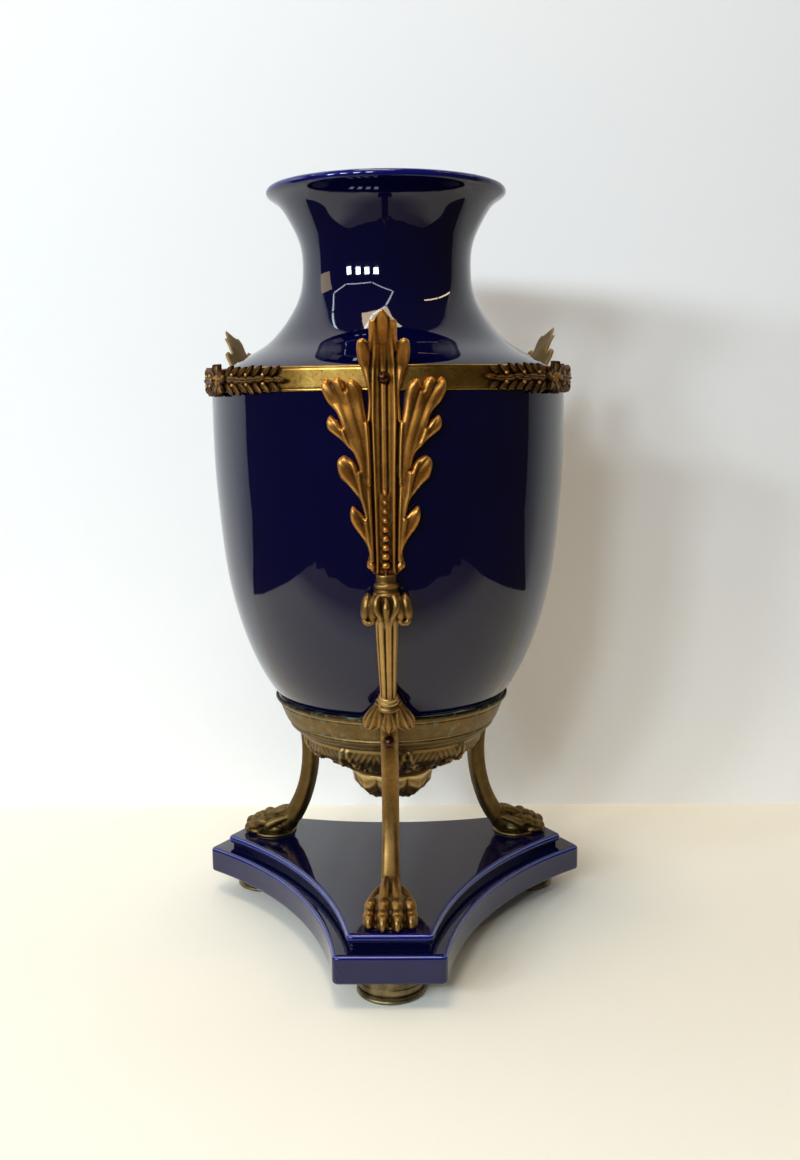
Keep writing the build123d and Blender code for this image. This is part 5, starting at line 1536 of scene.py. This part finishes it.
band_x = float(leaf_back_r(band_mid)) + leaf_t + leaf_rib_t / 2
knee_bolt_z = rim_z + knee_rise - 3.0
knee_x = rim_r_at(rim_z + knee_rise) + knee_stand + 6.6
nuts = {"leaf_nuts": ("dome_nuts", band_x, band_mid, 3.6, 4.4),
        "knee_caps": ("knee_nuts", knee_x, knee_bolt_z, 3.9, 5.0)}
for nut_name, (node, x, z, radius, height) in nuts.items():
    one = drum((x, 0, z), (1, 0, 0), dome(radius, height))
    group = joined([(at_leg(one[0], turn), one[1]) for turn in leg_turns])
    piece(nut_name, group, looks["dark_nut"], "dark_nut", [node])

# The nodes that keep their meshes, by the look that they take
kept_nodes = {
    "steel_grey": ["rod_washer", "rod_nut", "tie_rod", "knee_pins", "paw_studs"],
    "pin_brass": ["leaf_studs", "leaf_foot_pins", "garland_pins", "rosette_screws"],
    "leather_brown": ["rod_leather"],
    "dark_nut": ["knee_bolts"],
}
for look, nodes in kept_nodes.items():
    for node in nodes:
        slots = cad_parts[node].data.materials
        if slots:
            slots[0] = looks[look]
        else:
            slots.append(looks[look])


# Set, lamps and camera


def stage_plane(name, corners, material):
    """A flat piece of the set, in metres."""
    mesh = bpy.data.meshes.new(name)
    mesh.from_pydata(corners, [], [tuple(range(len(corners)))])
    mesh.materials.append(material)
    made = added(name, mesh)
    return made


# Painted shade: the cloth's colour darkens towards the camera between these distances, in metres
floor_shade_y = (-0.46, -0.30)
floor_look = Look("floor_cloth")
nearness = floor_look.nodes.new("ShaderNodeSeparateXYZ")
floor_look.put(nearness.inputs[0], floor_look.place)
floor_painted_shade = floor_look.span(nearness.outputs["Y"], *floor_shade_y)
# Painted shade on the cloth, darker towards the camera.
floor_tone = floor_look.mix(floor_painted_shade, linear(150, 136, 132), linear(252, 247, 232))
floor_look.set(Base_Color=floor_tone, Roughness=0.9)
wall_look = Look("wall_paint")
wall_look.set(Base_Color=linear(255, 253, 250), Roughness=0.95)
see_through = wall_look.nodes.new("ShaderNodeBsdfTransparent")
choose = wall_look.nodes.new("ShaderNodeMixShader")
wall_look.links.new(wall_look.nodes.new("ShaderNodeNewGeometry").outputs["Backfacing"], choose.inputs[0])
wall_look.links.new(wall_look.shader.outputs[0], choose.inputs[1])
wall_look.links.new(see_through.outputs[0], choose.inputs[2])
wall_look.links.new(choose.outputs[0], wall_look.nodes["Material Output"].inputs["Surface"])

wall_y = 0.227
stage_half_w = 1.6
wall_h = 2.2
# The table's ragged front edge shows in the glaze as a line that peaks at the table's corners
table_half_w = 0.70
table_back_y = 2.0
table_front = [(-0.70, -0.52), (-0.665, -0.615), (-0.61, -0.575), (-0.55, -0.625), (-0.47, -0.585),
               (-0.40, -0.61), (-0.28, -0.58), (-0.15, -0.60), (-0.05, -0.54), (0.06, -0.53), (0.14, -0.59),
               (0.26, -0.58), (0.39, -0.62), (0.48, -0.585), (0.56, -0.63), (0.62, -0.58), (0.67, -0.62),
               (0.70, -0.54)]
table_back = [(table_half_w, table_back_y, 0), (-table_half_w, table_back_y, 0)]
stage_plane("floor", [(x, y, 0) for x, y in table_front] + table_back, floor_look.material)
stage_plane("wall", [(-stage_half_w, wall_y, 0), (stage_half_w, wall_y, 0), (stage_half_w, wall_y, wall_h),
                     (-stage_half_w, wall_y, wall_h)], wall_look.material)


camera_from = array([0.0, -812.1, 365.5]) * MM
camera_pitch = 0.1519
camera_yaw = 0.0082
camera_roll = -0.0100
camera_turn = radians(1.2)
focal_px = 1193.3
image_long_px = 1160.0
image_w = 800.0
sensor = 36.0

data = bpy.data.cameras.new("camera")
data.sensor_width = sensor
data.lens = focal_px / image_long_px * sensor
camera = added("camera", data)
ahead = Vector((sin(camera_yaw) * cos(camera_pitch), cos(camera_yaw) * cos(camera_pitch), -sin(camera_pitch)))
right = Vector((cos(camera_yaw), -sin(camera_yaw), 0))
up = right.cross(ahead)
right_rolled = cos(camera_roll) * right + sin(camera_roll) * up
up_rolled = -sin(camera_roll) * right + cos(camera_roll) * up
turn = Matrix.Rotation(camera_turn, 4, "Z")
pose = Matrix((right_rolled, up_rolled, -ahead)).transposed().to_4x4()
pose.translation = Vector(camera_from)
camera.matrix_world = turn @ pose
scene.camera = camera


# Distances from the camera, in metres, between which its rays meet the neck
ray_lengths = np.linspace(0.5, 0.9, 4001)


def neck_mirror(across, down, reach):
    """Where the camera's ray through a place in the picture, in pixels, ends up after it meets the neck."""
    sideways, upwards = (across - image_w / 2) / focal_px, (image_long_px / 2 - down) / focal_px
    way = array((turn.to_3x3() @ (ahead + sideways * right_rolled + upwards * up_rolled)).normalized())
    start = array(camera.matrix_world.translation)
    path = start + ray_lengths[:, None] * way
    radius = np.hypot(path[:, 0], path[:, 1])
    met = path[np.argmax(radius < np.interp(path[:, 2], neck_line[:, 1] * MM, neck_line[:, 0] * MM))]
    step = 1.0
    low, high = (float(np.interp(met[2] / MM + k * step, neck_line[:, 1], neck_line[:, 0])) for k in (-1, 1))
    out = unit(array([*unit(met[:2]), (low - high) / (2 * step)]))
    return Vector(met + reach * (way - 2 * (way @ out) * out))


def lamp(name, place, target, size, power, colour, run=None):
    """A soft lamp aimed at a point: a square, or a bar of that width along a run."""
    data = bpy.data.lights.new(name, "AREA")
    data.shape = "RECTANGLE"
    data.size = run.length if run else size
    data.size_y = size
    data.energy = power
    data.color = colour
    back = (Vector(place) - Vector(target)).normalized()
    along = run.normalized() if run else Vector((0, 0, 1)).cross(back).normalized()
    side = back.cross(along).normalized()
    pose = Matrix((along, side, along.cross(side))).transposed().to_4x4()
    pose.translation = Vector(place)
    added(name, data).matrix_world = pose


def light_line(name, picture_points, width, power, colour):
    """Bars of light whose reflections in the neck join some places in the picture."""
    corners = [neck_mirror(*point, light_reach) for point in picture_points]
    length = sum((b - a).length for a, b in zip(corners, corners[1:]))
    for k, (a, b) in enumerate(zip(corners, corners[1:])):
        share = (b - a).length / length
        lamp(f"{name}_{k}", (a + b) / 2, neck_middle, width, power * share, colour, run=(b - a) * bar_share)


light_reach = 2.0
bar_share = 0.94
neck_middle = (0.0, 0.0, neck_z * MM)
pale_blue, warm = (0.74, 0.87, 1.0), (1.0, 0.78, 0.52)
# Places in the picture, in pixels of its 800 by 1160, where the lamps show in the neck
lattice_px = [(340, 331), (333, 312), (334, 293), (346, 284), (372, 282), (393, 291), (386, 306), (372, 315),
              (364, 329)]
right_line_px = [(424, 300), (438, 298), (450, 292), (459, 281)]
pane_px = [(349, 271), (358, 271), (367, 271), (376, 271)]
light_line("lattice", lattice_px, 0.05, 8.5, pale_blue)
light_line("right_line", right_line_px, 0.05, 4.4, warm)
for k, place in enumerate(pane_px):
    middle = neck_mirror(*place, light_reach)
    lamp(f"pane_{k}", middle, neck_middle, 0.22, 9.0, pale_blue)
lamp("top", (-0.14, -0.30, 2.0), (0.0, 0.0, 0.2), 0.6, 10.5, warm)
lamp("left", (-1.5, 0.0, 1.0), (0.0, 0.0, 0.25), 0.5, 2.5, warm)

world = bpy.data.worlds.new("room")
scene.world = world
world.use_nodes = True
backdrop = world.node_tree.nodes["Background"].inputs
backdrop["Color"].default_value = (1.0, 0.84, 0.64, 1)
backdrop["Strength"].default_value = 0.06
